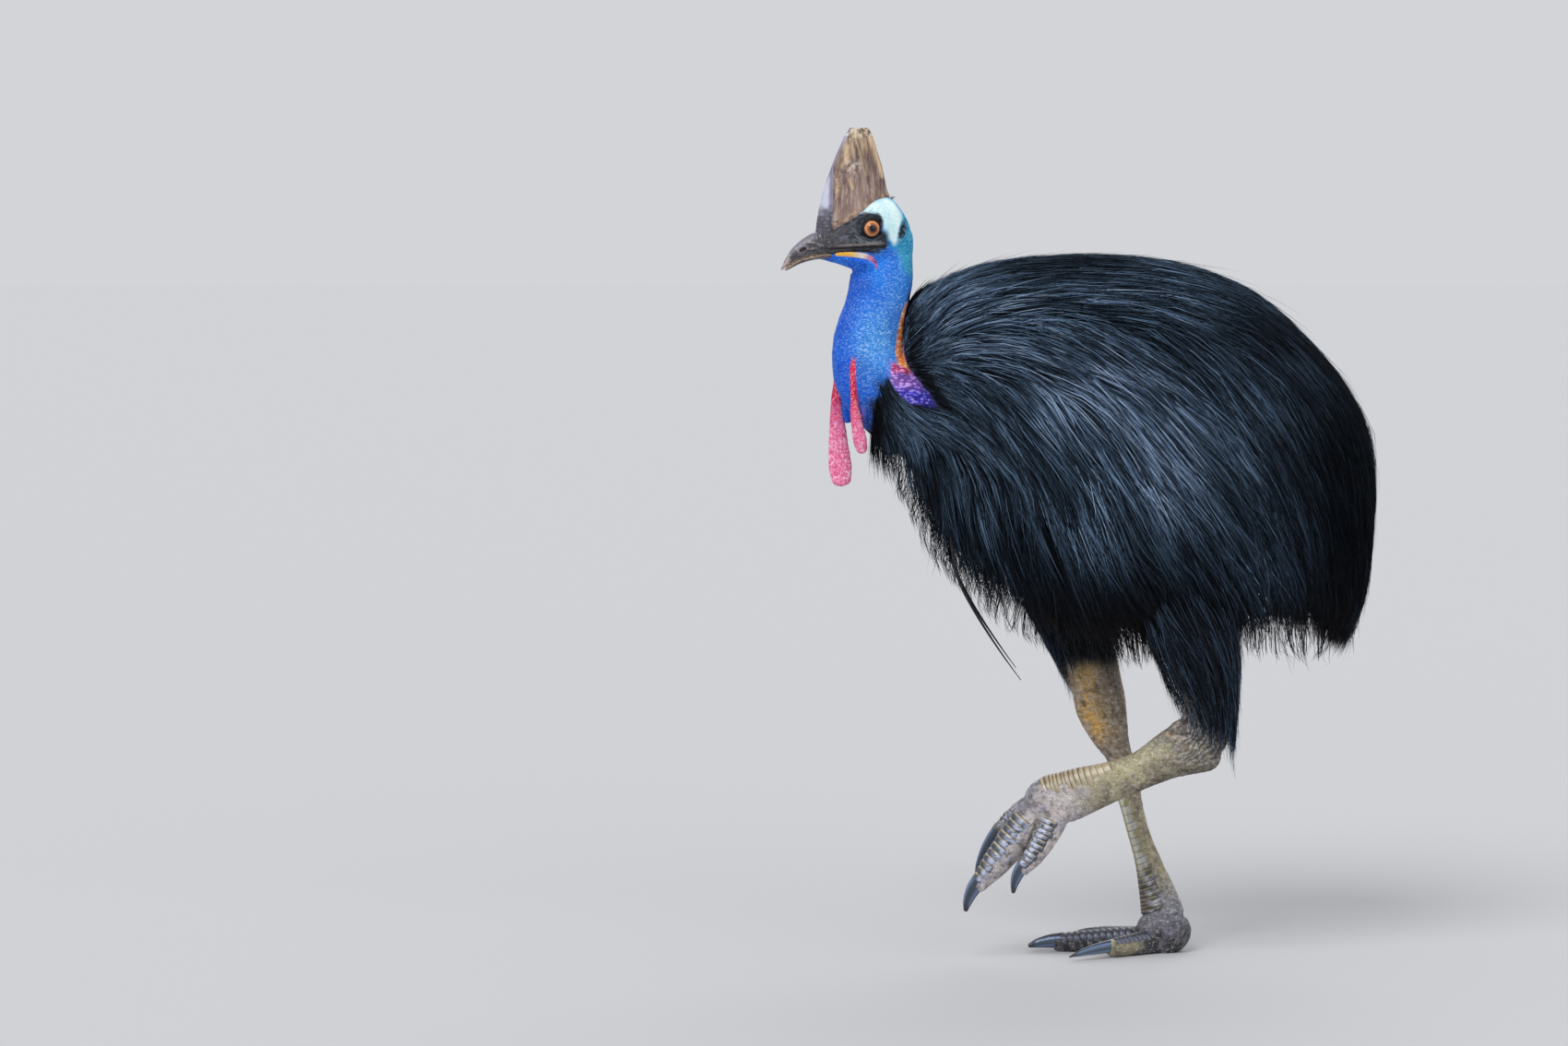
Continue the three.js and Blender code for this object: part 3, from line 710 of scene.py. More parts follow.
# Dark teal lies between the black below the eye and the blue.
gap, _ = near_line(plane, [(-349, 1250), (-345, 1232), (-352, 1222), (-372, 1215)])
paint(16, 62, 92, 0.8 * hill(gap + 1.5 * (fleck - 0.5), 4.5) * ease(8, 16, lateral))
ragged = plane + 4.5 * columns(lumps(points, 6, 36) - 0.5, lumps(points, 6, 37) - 0.5)
face = within(ragged, FACE, 2.4)
paint(34, 36, 42, face)
# Fine folds run from the bill under the eye, with painted highlights along them.
phase = (head_z - 0.1 * head_x) / 2.6 + 2.2 * lumps(points, 9, 45) + 1.2 * lumps(points, 3.5, 47)
wrinkle = np.sin(phase * 2 * np.pi) * 0.5 + 0.5
painted_fold_highlight = face * 0.75 * ease(0.5, 1.0, wrinkle)
paint(122, 126, 138, painted_fold_highlight * patchy(0.3, 0.6, 6, 38) * ease(-350, -368, head_x))
# Painted highlights on the lores by the bill and along a stroke across them.
lores_highlight = face * 0.6 * ease(-398, -420, head_x) * ease(1266, 1252, head_z)
paint(86, 82, 86, lores_highlight * (0.4 + 0.6 * lumps(points, 7, 48)))
lit = face * 0.35 * stroke(plane, [(-428, 1238), (-412, 1247), (-402, 1253)], 4)
paint(130, 134, 152, lit * patchy(0.3, 0.7, 4, 49))
# Painted highlights along two folds under the eye.
for line in (
    [(-401, 1246), (-390, 1237), (-376, 1233.5), (-358, 1236)],
    [(-404, 1240), (-388, 1232), (-352, 1233)],
):
    paint(120, 124, 134, face * 0.55 * stroke(plane, line, 1.2))
lip = face * 0.7 * stroke(plane, LIP, 1.5)
paint(146, 128, 122, lip * ease(-440, -420, head_x) * ease(-350, -366, head_x))
# Painted shade in the crease below the lip.
paint(14, 14, 17, stroke(plane, [(-470, 1219), (-426, 1223), (-392, 1224.5), (-350, 1225.5)], 2.0) * face)
# Chin and throat stay deep blue; the gape's fold goes from yellow through white to pink and red.
# Painted shade in the gape's crease.
paint(12, 12, 14, stroke(plane, GAPE[:4], 1.7) * ease(8, 14, lateral) * (height > 1190))
strip, run = near_line(plane, [
    (-431, 1213.0), (-415, 1213.4), (-399, 1212.4), (-384, 1210), (-373, 1206), (-366, 1199), (-362, 1190),
])
swell = 2.4 * np.sin(np.pi * np.clip(run * 0.9 + 0.1, 0, 1))
strip = ease(0.8, 0.0, strip - 1.6 - swell) * ease(7, 13, lateral)
paint(232, 172, 48, strip * ease(0.42, 0.3, run))
paint(244, 228, 196, strip * hill(run - 0.46, 0.15))
paint(226, 132, 160, strip * hill(run - 0.66, 0.12))
paint(186, 36, 74, strip * ease(0.62, 0.84, run) * ease(0.3, 0.6, fine))
# Lid rims: dark, with a thin dull-red line against the ball.
from_eye = from_eye_at(flat)
paint(22, 24, 28, ease(18.4, 15.6, from_eye) * 0.9 * (lateral > 20) * (height > 1200))
rim = 0.5 * hill(from_eye - 18.6, 0.9) * (lateral > 20) * (height > 1200)
paint(124, 132, 146, rim * ease(0.35, 0.6, fleck))
paint(70, 40, 34, hill(from_eye - LID_OPENING, 0.9) * (lateral > 20) * 0.7)


def red_of(form, loose):
    """How near the skin is to a wattle's own line, as 1 within its thickness."""
    line, _ = middles(form.places, np.linspace(0, form.spans, 24))
    sizes = between(form.sizes, np.linspace(0, form.spans, 24))
    best = np.full(len(points), 9.0)
    for k, (at, size) in enumerate(zip(line, sizes)):
        part = (points - at) / [size[1] + loose, size[0] + loose, 26 if k in (0, 23) else 9]
        best = np.minimum(best, np.linalg.norm(part, axis=1))
    return ease(1.4, 1.0, best)


# Wattles: crimson at the root, paler and pitted with white below. The tongues behind them stay blue.
red = np.zeros(len(points))
for form, cut in zip(wattle_forms, (1018, 1034)):
    red = np.maximum(red, red_of(form, 1.0) * ease(cut + 6, cut - 10, height))
depth_down = ease(1010, 850, height)
paint(220, 24, 72, red)
paint(244, 132, 180, red * ease(0.1, 0.75, depth_down) * 0.9)
paint(250, 206, 222, red * patchy(0.58, 0.78, 3.0, 41, 0.75) * (0.25 + 0.55 * depth_down))
paint(170, 10, 50, red * patchy(0.42, 0.2, 4.0, 42, 0.8) * (0.7 - 0.35 * depth_down))

# The strip behind the neck, orange, and the beaded patch below it, from pink through violet to deep blue.
gap, run = near_line(side_view, ROPE)
orange = ease(1.5, -1.5, gap - np.interp(run, [0, 0.3, 0.8, 1], [2, 4.5, 8, 7])) * (x > -330) * bare_neck
paint(252, 148, 48, orange)
# Painted highlights and painted shade on the strip's knobs, in random patches.
paint(255, 204, 140, orange * patchy(0.5, 0.75, 6, 46))
paint(206, 82, 44, orange * 0.5 * patchy(0.35, 0.15, 6, 46))
beaded = within(side_view, BEADED, 2.5) * bare_neck
along = ease(1030, 962, height)
paint(240, 104, 164, beaded * ease(0.4, 0.1, along))
paint(184, 132, 236, beaded * ease(0.1, 0.45, along))
paint(70, 76, 234, beaded * ease(0.55, 0.95, along))

# Legs. Shanks are grey-brown with ochre, the lower legs olive, the toes' sides a greyish pink, the standing
# foot dark.
is_left = ease(-42, -56, points[:, 1])
leg = ease(514 - 36 * is_left, 480 - 28 * is_left, height) * (x > -330)
left_leg, right_leg = leg * is_left, leg * (1 - is_left)
paint(150, 134, 114, leg)
paint(196, 158, 96, leg * 0.75 * patchy(0.5, 0.72, 26, 51, 0.5) * ease(352, 372, height))
gap, _ = near_line(side_view, [(8, 498), (10, 452), (18, 412), (36, 386)])
gap = gap + 9 * (lumps(points, 12, 72, 0.6) - 0.5)
paint(210, 170, 98, right_leg * 0.8 * hill(gap, 19))
paint(222, 172, 78, right_leg * 0.7 * stroke(side_view, [(10, 420), (20, 398), (32, 384)], 9))
paint(186, 176, 166, leg * 0.6 * patchy(0.55, 0.8, 9, 52, 1.5))
paint(76, 64, 54, leg * 0.7 * patchy(0.42, 0.2, 8, 54, 1.5))
olive = is_left * ease(236, 190, x) * ease(404, 372, height) + (1 - is_left) * ease(345, 310, height)
olive = leg * olive
paint(152, 143, 118, olive)
paint(190, 182, 146, olive * 0.7 * patchy(0.4, 0.75, 18, 53))
paint(96, 90, 72, olive * 0.5 * patchy(0.42, 0.2, 10, 58, 1.2))
# Painted highlight along the top of the lifted tarsus.
paint(206, 196, 156, left_leg * 0.6 * stroke(side_view, [(140, 372), (70, 338), (10, 318)], 13))
paint(226, 196, 152, left_leg * 0.85 * stroke(side_view, [(140, 397), (170, 390)], 5))
paint(150, 134, 120, left_leg * 0.6 * patchy(0.35, 0.7, 16, 55) * ease(0.2, -0.4, outward[:, 2]))
heel = left_leg * oval(side_view, *HEEL)
paint(92, 88, 90, heel * 0.9 * patchy(0.2, 0.5, 13, 64))
# Painted highlights on the shiny heel: white spots, and light on the ridges of its folds. Painted shade
# lies in the folds' hollows.
paint(204, 202, 206, heel * 0.8 * ease(0.6, 0.85, 0.6 * lumps(points, 7, 65) + 0.4 * lumps(points, 3, 66)))
folds = heel_waves(points)
paint(208, 206, 204, heel * 0.75 * ease(0.35, 0.95, folds) * patchy(0.35, 0.6, 5, 71))
paint(48, 42, 40, heel * 0.8 * ease(-0.3, -0.9, folds))
paint(
    44, 36, 32,
    heel * 0.8 * ease(0.4, 0.15, 0.5 * lumps(points, 8, 67, 1.6) + 0.5 * lumps(points, 3.4, 68)),
)
# Painted shade on the underside of the lifted leg.
paint(60, 48, 42, left_leg * 0.7 * ease(-0.25, -0.8, outward[:, 2]) * (x > 90))
# The heel darkens towards the plumes, and painted shade lies as dark lines in its creases.
paint(58, 52, 50, left_leg * 0.85 * stroke(side_view, [(262, 470), (262, 400), (252, 352)], 30))
for line in HEEL_CREASES:
    paint(44, 38, 36, left_leg * 0.75 * stroke(side_view, line, 2.0))
paw = left_leg * ease(34, -46, x + 24 * (lumps(points, 14, 59) - 0.5))
paint(200, 190, 188, paw)
paint(142, 142, 164, paw * 0.6 * patchy(0.45, 0.75, 14, 56))
paint(232, 222, 218, paw * 0.7 * patchy(0.55, 0.8, 9, 57))
paint(92, 80, 78, paw * 0.65 * patchy(0.4, 0.2, 7, 60))
instep = left_leg * stroke(side_view, [(-92, 300), (-118, 262), (-136, 236)], 17)
paint(96, 94, 104, instep * 0.7)
paint(178, 182, 206, instep * 0.7 * patchy(0.55, 0.8, 5, 61))
# Painted shade in a crease of the lifted foot.
paint(52, 40, 38, left_leg * 0.8 * stroke(side_view, [(-82, 246), (-90, 226), (-98, 196), (-112, 160)], 4))
foot = right_leg * ease(150, 60, height)
paint(104, 106, 124, foot * 0.85)
paint(184, 190, 216, foot * 0.6 * patchy(0.5, 0.75, 4.5, 62) * ease(60, 84, height))
paint(42, 42, 50, foot * 0.6 * patchy(0.45, 0.25, 5, 63))
paint(48, 48, 50, right_leg * ease(66, 30, height) * 0.9)
paint(130, 126, 140, foot * 0.5 * patchy(0.5, 0.8, 12, 58))

# What the shader needs beside the colour: how beaded the neck is, how scaly the legs are, how wet or
# polished.
neck_beads = bare_neck * (1 - face) * (1 - beaded) * (1 - pale) * (1 - red)
neck_beads = neck_beads * ease(1300, 1250, height) * (0.3 + 0.7 * beads)
polish = np.clip(0.5 * strip + 0.35 * face + 0.4 * red, 0, 1)


def write_colors(mesh, name, values):
    """Keeps up to four numbers for each point of the mesh, under a name that its finish reads."""
    layer = mesh.attributes.new(name, "FLOAT_COLOR", "POINT")
    rgba = np.ones((len(values), 4), np.float32)
    rgba[:, :values.shape[1]] = values
    layer.data.foreach_set("color", rgba.ravel())


write_colors(skin_mesh, "tint", tint)
write_colors(skin_mesh, "traits", columns(neck_beads, leg, red, polish))
write_colors(skin_mesh, "patches", columns(beaded, orange))


class Wire:
    """One number, colour or vector between shader nodes. Sums on it add Math nodes."""

    def __init__(self, finish, socket):
        self.finish, self.socket = finish, socket

    def math(self, operation, *values, clamp=False):
        settings = {"operation": operation, "use_clamp": clamp}
        return self.finish.node("Math", settings, dict(enumerate(values)))

    def __add__(self, other):
        return self.math("ADD", self, other)

    def __sub__(self, other):
        return self.math("SUBTRACT", self, other)

    def __rsub__(self, other):
        return self.math("SUBTRACT", other, self)

    def __mul__(self, other):
        return self.math("MULTIPLY", self, other)

    __radd__, __rmul__ = __add__, __mul__

    def held(self):
        """Kept between 0 and 1."""
        return self.math("ADD", self, 0.0, clamp=True)

    def ease(self, low, high):
        """0 at low, 1 at high, and smooth between."""
        settings = {"interpolation_type": "SMOOTHSTEP"}
        return self.finish.node("MapRange", settings, {"Value": self, "From Min": low, "From Max": high})


class Finish:
    """A surface finish: one material around one Principled shader."""

    def __init__(self, name, **sockets):
        self.material = bpy.data.materials.new(name)
        self.material.use_nodes = True
        self.tree = self.material.node_tree
        self.tree.nodes.clear()
        self.shader = self.tree.nodes.new("ShaderNodeBsdfPrincipled")
        output = self.tree.nodes.new("ShaderNodeOutputMaterial")
        self.tree.links.new(self.shader.outputs[0], output.inputs[0])
        self.drive(**sockets)

    def set(self, node, sockets):
        for key, value in sockets.items():
            if isinstance(value, Wire):
                self.tree.links.new(value.socket, node.inputs[key])
            else:
                node.inputs[key].default_value = value

    def node(self, kind, settings=None, sockets=None, out=0):
        """A node of this kind: first its settings, then its sockets' values or links. Gives one output."""
        node = self.tree.nodes.new("ShaderNode" + kind)
        for key, value in (settings or {}).items():
            setattr(node, key, value)
        self.set(node, sockets or {})
        return Wire(self, node.outputs[out])

    def drive(self, **sockets):
        """Sets or links the shader's own sockets."""
        self.set(self.shader, {key.replace("_", " "): value for key, value in sockets.items()})

    def place(self, stretch=(1, 1, 1)):
        """Where a point is, in metres, squeezed along the axes."""
        at = self.node("TexCoord", out=3)
        return self.node("VectorMath", {"operation": "MULTIPLY"}, {0: at, 1: stretch})

    def noise(self, size, detail=3.0, stretch=(1, 1, 1), roughness=0.55):
        return self.node("TexNoise", sockets={
            "Vector": self.place(stretch), "Scale": 1000 / size, "Detail": detail, "Roughness": roughness})

    def cells(self, size, feature="F1", stretch=(1, 1, 1), jitter=1.0, out=0):
        sockets = {"Vector": self.place(stretch), "Scale": 1000 / size, "Randomness": jitter}
        return self.node("TexVoronoi", {"feature": feature}, sockets, out)

    def traits(self, name):
        """An attribute's red, green and blue as numbers."""
        color = self.node("Attribute", {"attribute_name": name})
        split = self.node("SeparateColor", sockets={0: color}).socket.node
        return [Wire(self, output) for output in split.outputs]

    def mix(self, share, low, high, blend="MIX"):
        low, high = (color if isinstance(color, Wire) else (*color, 1) for color in (low, high))
        return self.node("Mix", {"data_type": "RGBA", "blend_type": blend}, {0: share, 6: low, 7: high}, 2)

    def painted(self):
        """Starts the finish's colour from what is painted on the mesh."""
        self.color = self.node("Attribute", {"attribute_name": "tint"})

    def toned(self, share, color):
        """The finish's colour so far, brought towards another."""
        return self.mix(share, self.color, color)

    def lay(self, share, color):
        """Lays a colour over the finish's own."""
        self.color = self.toned(share, color)

    def bump(self, height, depth, strength=1.0):
        """Relief of this depth in millimetres."""
        sockets = {"Height": height, "Distance": depth * MM, "Strength": strength}
        self.drive(Normal=self.node("Bump", sockets=sockets))


WHITE = (1.0, 1.0, 1.0)
hide = Finish("bare_skin", IOR=1.42, Specular_IOR_Level=0.3)
bead, scale, lobe = hide.traits("traits")
gloss = hide.node("Attribute", {"attribute_name": "traits"}, out=3)
hide.painted()
dark = hide.toned(0.55, (0.0, 0.0, 0.0))
light = hide.toned(0.3, WHITE)
grain = hide.noise(1.6, 4)
broad = hide.noise(9, 3)
# Neck: short wavy wrinkles that run round it, with painted shade in their hollows, broken into fine pale
# flecks.
dashes = hide.noise(2.7, 4, (0.6, 0.6, 1.4), 0.65)
fleck = dashes.ease(0.51, 0.6) * broad.ease(0.28, 0.5)
painted_hollow_shade = dashes.ease(0.46, 0.36)
hide.lay((bead + 0.25) * bead.ease(0.0, 0.2) * painted_hollow_shade * 0.55, dark)
hide.lay(bead * fleck * 0.78, shade(178, 216, 246))
# Legs: a net of small rounded scales, some light and some dark.
seam = hide.cells(2.9, "DISTANCE_TO_EDGE", (1, 1, 0.85), 0.9).ease(0.0, 0.2)
each = hide.node("SeparateColor", sockets={0: hide.cells(2.9, "F1", (1, 1, 0.85), 0.9, 1)})
hide.lay(scale * each.ease(0.62, 1.0) * broad.ease(0.35, 0.6) * 0.42, hide.toned(0.55, WHITE))
hide.lay(scale * each.ease(0.4, 0.0) * 0.5, dark)
hide.lay(scale * (1 - seam) * 0.4, dark)
# Creases over the scales, with painted shade in their hollows and painted highlight on their ridges.
creases = hide.noise(8, 4, (0.8, 1, 1.8), 0.7)
hide.lay(scale * creases.ease(0.47, 0.38) * 0.55, hide.toned(0.6, (0.01, 0.008, 0.006)))
hide.lay(scale * creases.ease(0.56, 0.66) * 0.4, hide.toned(0.5, (1.0, 0.97, 0.92)))
hide.lay(scale * broad.ease(0.52, 0.75) * 0.35, light)
hide.lay(scale * broad.ease(0.46, 0.3) * 0.4, dark)
# Wattles: pale pimples between crimson pits.
pimple = hide.cells(2.4, "F1", (1, 1, 0.7)) + (hide.noise(4.5, 3) - 0.5) * 0.9
hide.lay(lobe * pimple.ease(0.45, 0.1) * 0.6, shade(255, 214, 226))
hide.lay(lobe * pimple.ease(0.5, 0.8) * 0.55, shade(190, 18, 66))
# The patch at the neck's foot: rounded beads, with painted highlights on top and painted shade between.
# The strip above is knobbly, with painted shade between its knobs.
patch, strip_of, _ = hide.traits("patches")
knobs = hide.cells(6.0, "F1", (0.62, 1, 1.35), 0.95) + (hide.noise(3.5, 3) - 0.5) * 0.7
hide.lay(patch * knobs.ease(0.52, 0.12) * 0.85, hide.toned(0.6, (0.95, 0.72, 1.0)))
hide.lay(patch * knobs.ease(0.4, 0.62) * 0.8, hide.toned(0.75, (0.02, 0.0, 0.06)))
hide.lay(strip_of * knobs.ease(0.46, 0.75) * 0.6, shade(176, 58, 28))
hide.lay(grain.ease(0.5, 0.85) * 0.1, light)
relief = (patch + strip_of) * (0.8 - knobs) * 4.0 + bead * dashes * 1.6
relief = relief + scale * (seam * 1.0 + broad * 1.4 + creases * 2.5) - lobe * pimple * 1.2 + grain * 0.35
hide.bump(relief, 0.6, 0.7)
hide.drive(Base_Color=hide.color, Roughness=(0.6 - gloss * 0.25 - scale * 0.26 + grain * 0.12).held())


def mount(thing, finish, slot, *nodes):
    """Gives a piece its finish and lets it stand for nodes. Its slot is not used."""
    thing.data.materials.clear()
    thing.data.materials.append(finish.material)
    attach(thing, "root")
    if nodes:
        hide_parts(*nodes)


LEG_NODES = ["thigh", "shank", "tarsus", "foot", "toe_middle", "toe_inner", "toe_outer"]
mount(
    skin, hide, "neck_skin", "head", "neck", "wattle_left", "wattle_right", "trunk", "tail",
    *(f"{node}_{side}" for node in LEG_NODES for side in ("left", "right")),
)

# The casque: a tall blade of horn over a spongy core, grown from the crown. Its sides are dry brown horn,
# split along the grain and worn to cream near the flat top; its front edge is a smooth grey-lilac strip.
casque_form = Loft([
    [(front + rear) / 2, 0, z, half, (rear - front) / 2] for z, front, rear, half in [
        (1246, -464, -333, 21), (1284, -459, -334, 21), (1322, -450, -340, 17), (1360, -437, -348, 13),
        (1396, -422, -359, 9.5), (1420, -411, -366, 6.5), (1429, -406, -371, 4),
    ]
], facing=UP, power=2.25)
at, *faces = casque_form.mesh(150, 24)
x, z, lateral = at[:, 0], at[:, 2], np.abs(at[:, 1])
plane = at[:, [0, 2]]
strip_edge = np.array([
    (-434, 1250), (-439, 1262), (-437.5, 1289), (-436.5, 1334), (-434.5, 1362), (-421.5, 1390),
    (-405.5, 1421), (-399, 1432),
])
casque_foot = np.array([
    (-446, 1258), (-435, 1263), (-420, 1269), (-398, 1281.5), (-376, 1297), (-361, 1306), (-341, 1312),
    (-325, 1318),
])
behind = x - np.interp(z, strip_edge[:, 1], strip_edge[:, 0])
behind = behind + 2.2 * (lumps(at, 9, 60) - 0.5)
above_foot = z - np.interp(x, casque_foot[:, 0], casque_foot[:, 1])
grain = lumps(at, 3.4, 61, 0.13)
long_grain = lumps(at, 7.5, 62, 0.09)
pits = lumps(at, 3.8, 63)
horn = ease(-0.8, 1.4, behind)
worn = ease(1352, 1412, z + 22 * (long_grain - 0.5))
rim = hill(above_foot - 1, 5.5)
push = horn * (1.3 + 1.1 * (grain - 0.5) + 0.9 * (long_grain - 0.5))
push += rim * horn * (1.6 + 2.6 * (pits - 0.5))
for line, depth, width in [
    ([(-392, 1412), (-386, 1388), (-381, 1365), (-374, 1341), (-369, 1322)], 2.0, 2.2),
    ([(-377, 1416), (-370, 1388), (-365, 1364), (-360, 1344)], 1.8, 2.4),
    ([(-403, 1418), (-413, 1392), (-421, 1370)], 1.0, 1.8),
]:
    push -= horn * depth * stroke(plane, line, width)
push += horn * 1.4 * stroke(plane, [(-371, 1412), (-362, 1390), (-355, 1365), (-350, 1342)], 3.2)
# Wrinkles at the foot of the smooth strip.
ripple = np.sin(z * 2 * np.pi / 6.5 + 7 * lumps(at, 9, 64))
push += (1 - horn) * ease(1298, 1266, z) * (0.4 * ripple + 2.2 * (lumps(at, 5, 64) - 0.5))
wear = ease(1404, 1422, z)
push -= wear * 2.2 * lumps(at, 6, 65)
middle_x = np.interp(z, casque_form.places[:, 2], casque_form.places[:, 0])
out = unit(columns(x - middle_x, at[:, 1] * 6, 0 * x))
tint = np.tile(shade(126, 102, 94), (len(at), 1))
paint(84, 62, 56, ease(0.5, 0.2, grain))
paint(168, 142, 130, 0.8 * ease(0.52, 0.78, long_grain))
paint(186, 164, 150, 0.6 * ease(0.62, 0.85, lumps(at, 2.6, 68, 0.11)))
paint(178, 146, 112, worn * 0.7 * ease(0.4, 0.65, long_grain))
paint(208, 186, 154, worn * 0.6 * ease(0.52, 0.75, grain))
paint(84, 60, 56, worn * 0.75 * ease(0.42, 0.25, grain))
cream = np.max([
    stroke(plane, [(-371, 1414), (-362, 1390), (-355, 1365), (-351, 1346)], 3.4),
    0.8 * stroke(plane, [(-397, 1422), (-392, 1401), (-384, 1374), (-377, 1349)], 3.0),
    0.9 * stroke(plane, [(-402, 1422), (-404, 1403), (-408, 1383), (-419, 1364)], 5.0),
], axis=0)
paint(212, 184, 142, cream * (0.5 + 0.5 * ease(0.35, 0.6, grain)) * horn)
for line in (
    [(-392, 1410), (-386, 1388), (-381, 1365), (-374, 1341), (-370, 1327)],
    [(-377, 1414), (-370, 1388), (-365, 1365), (-361, 1348)],
):
    paint(78, 58, 52, 0.8 * stroke(plane, line, 2.0) * horn)
spot = oval(plane, -402, 1362, 13, 14)
paint(206, 196, 182, spot * ease(0.45, 0.7, pits) * horn)
paint(96, 84, 76, spot * ease(0.35, 0.2, pits) * horn)
paint(222, 190, 140, 0.8 * stroke(plane, [(-408, 1341), (-403, 1325)], 1.8) * horn)
paint(
    214, 186, 140,
    0.8 * stroke(plane, [(-430, 1352), (-427, 1331), (-432, 1312)], 3.6) * ease(0.5, 0.7, pits) * horn,
)
paint(136, 108, 88, rim * horn * 0.5)
paint(196, 168, 136, rim * horn * 0.6 * ease(0.55, 0.8, pits))
paint(70, 54, 44, rim * horn * ease(0.4, 0.22, pits))
# Painted shade along the step where the horn stands proud of the strip.
paint(52, 44, 44, hill(behind, 0.9) * 0.6)
# The smooth strip, with a painted highlight towards its front and painted shade near its rear edge.
paint(166, 160, 184, 1 - horn)
paint(206, 210, 226, (1 - horn) * 0.7 * ease(-3, -9, behind) * ease(1260, 1300, z))
paint(128, 120, 140, (1 - horn) * 0.6 * ease(0.55, 0.8, lumps(at, 6, 66, 0.2)))
paint(112, 104, 124, (1 - horn) * 0.8 * hill(behind + 2.5, 2.0) * ease(1420, 1390, z))
crumpled = (1 - horn) * ease(1306, 1276, z + 18 * (lumps(at, 7, 69) - 0.5))
paint(58, 54, 64, crumpled * 0.9)
# Painted highlights on the crumpled horn at the strip's foot.
paint(
    176, 170, 190,
    crumpled * 0.6 * ease(0.6, 0.85, 0.5 * lumps(at, 5, 67, 1.6) + 0.5 * lumps(at, 2.6, 70)),
)
paint(208, 196, 170, wear * ease(0.4, 0.65, pits))
paint(96, 84, 74, wear * ease(0.42, 0.25, pits))
casque = place_mesh("casque_horn", turned(at + out * push[:, None]), *faces)
write_colors(casque.data, "tint", tint)
write_colors(casque.data, "traits", columns(horn))
casque_finish = Finish("casque_horn", IOR=1.5)
dry, _, _ = casque_finish.traits("traits")
casque_finish.painted()
streak = casque_finish.noise(2.4, 5, (1, 1, 0.1), 0.7)
speckle = casque_finish.noise(1.6, 4)
casque_finish.lay(dry * streak.ease(0.5, 0.75) * 0.45, shade(204, 180, 166))
casque_finish.lay(dry * streak.ease(0.48, 0.28) * 0.6, shade(66, 48, 46))
casque_finish.lay(dry * speckle.ease(0.55, 0.8) * 0.25, shade(196, 172, 150))
casque_finish.bump(streak * dry + speckle * 0.5, 0.5, 0.6)
casque_finish.drive(Base_Color=casque_finish.color, Roughness=(dry * 0.22 + streak * 0.15 + 0.34).held())
mount(casque, casque_finish, "casque_horn", "casque")

# The bill: two sheaths of horn over the jaws. The upper one has a blunt ridge, an oval nostril far forward
# and a small hook; its cutting edge is worn to tan. The lower one is a narrow trough that closes inside it.
MOUTH_LINE = np.array([
    (-523, 1186), (-512, 1194), (-502, 1201), (-490, 1206), (-478, 1210), (-462, 1213), (-440, 1216),
    (-410, 1218.5),
])
upper_sheath = Loft([
    [-424, 0, 1233, 21.5, 25], [-462, 0, 1228, 16.5, 22.5], [-492, 0, 1215, 10.5, 15.5],
    [-510, 0, 1200, 6, 9], [-520.5, 0, 1188.5, 3.2, 4],
], domes=(3, 4))
lower_sheath = Loft([
    [-420, 0, 1212, 19.5, 9], [-462, 0, 1209.5, 14.5, 5.5], [-492, 0, 1201.5, 9, 4.8],
    [-508, 0, 1192.5, 5.4, 3.4], [-515, 0, 1187.5, 3, 2],
], domes=(3, 2.5))
tints, forms = [], []
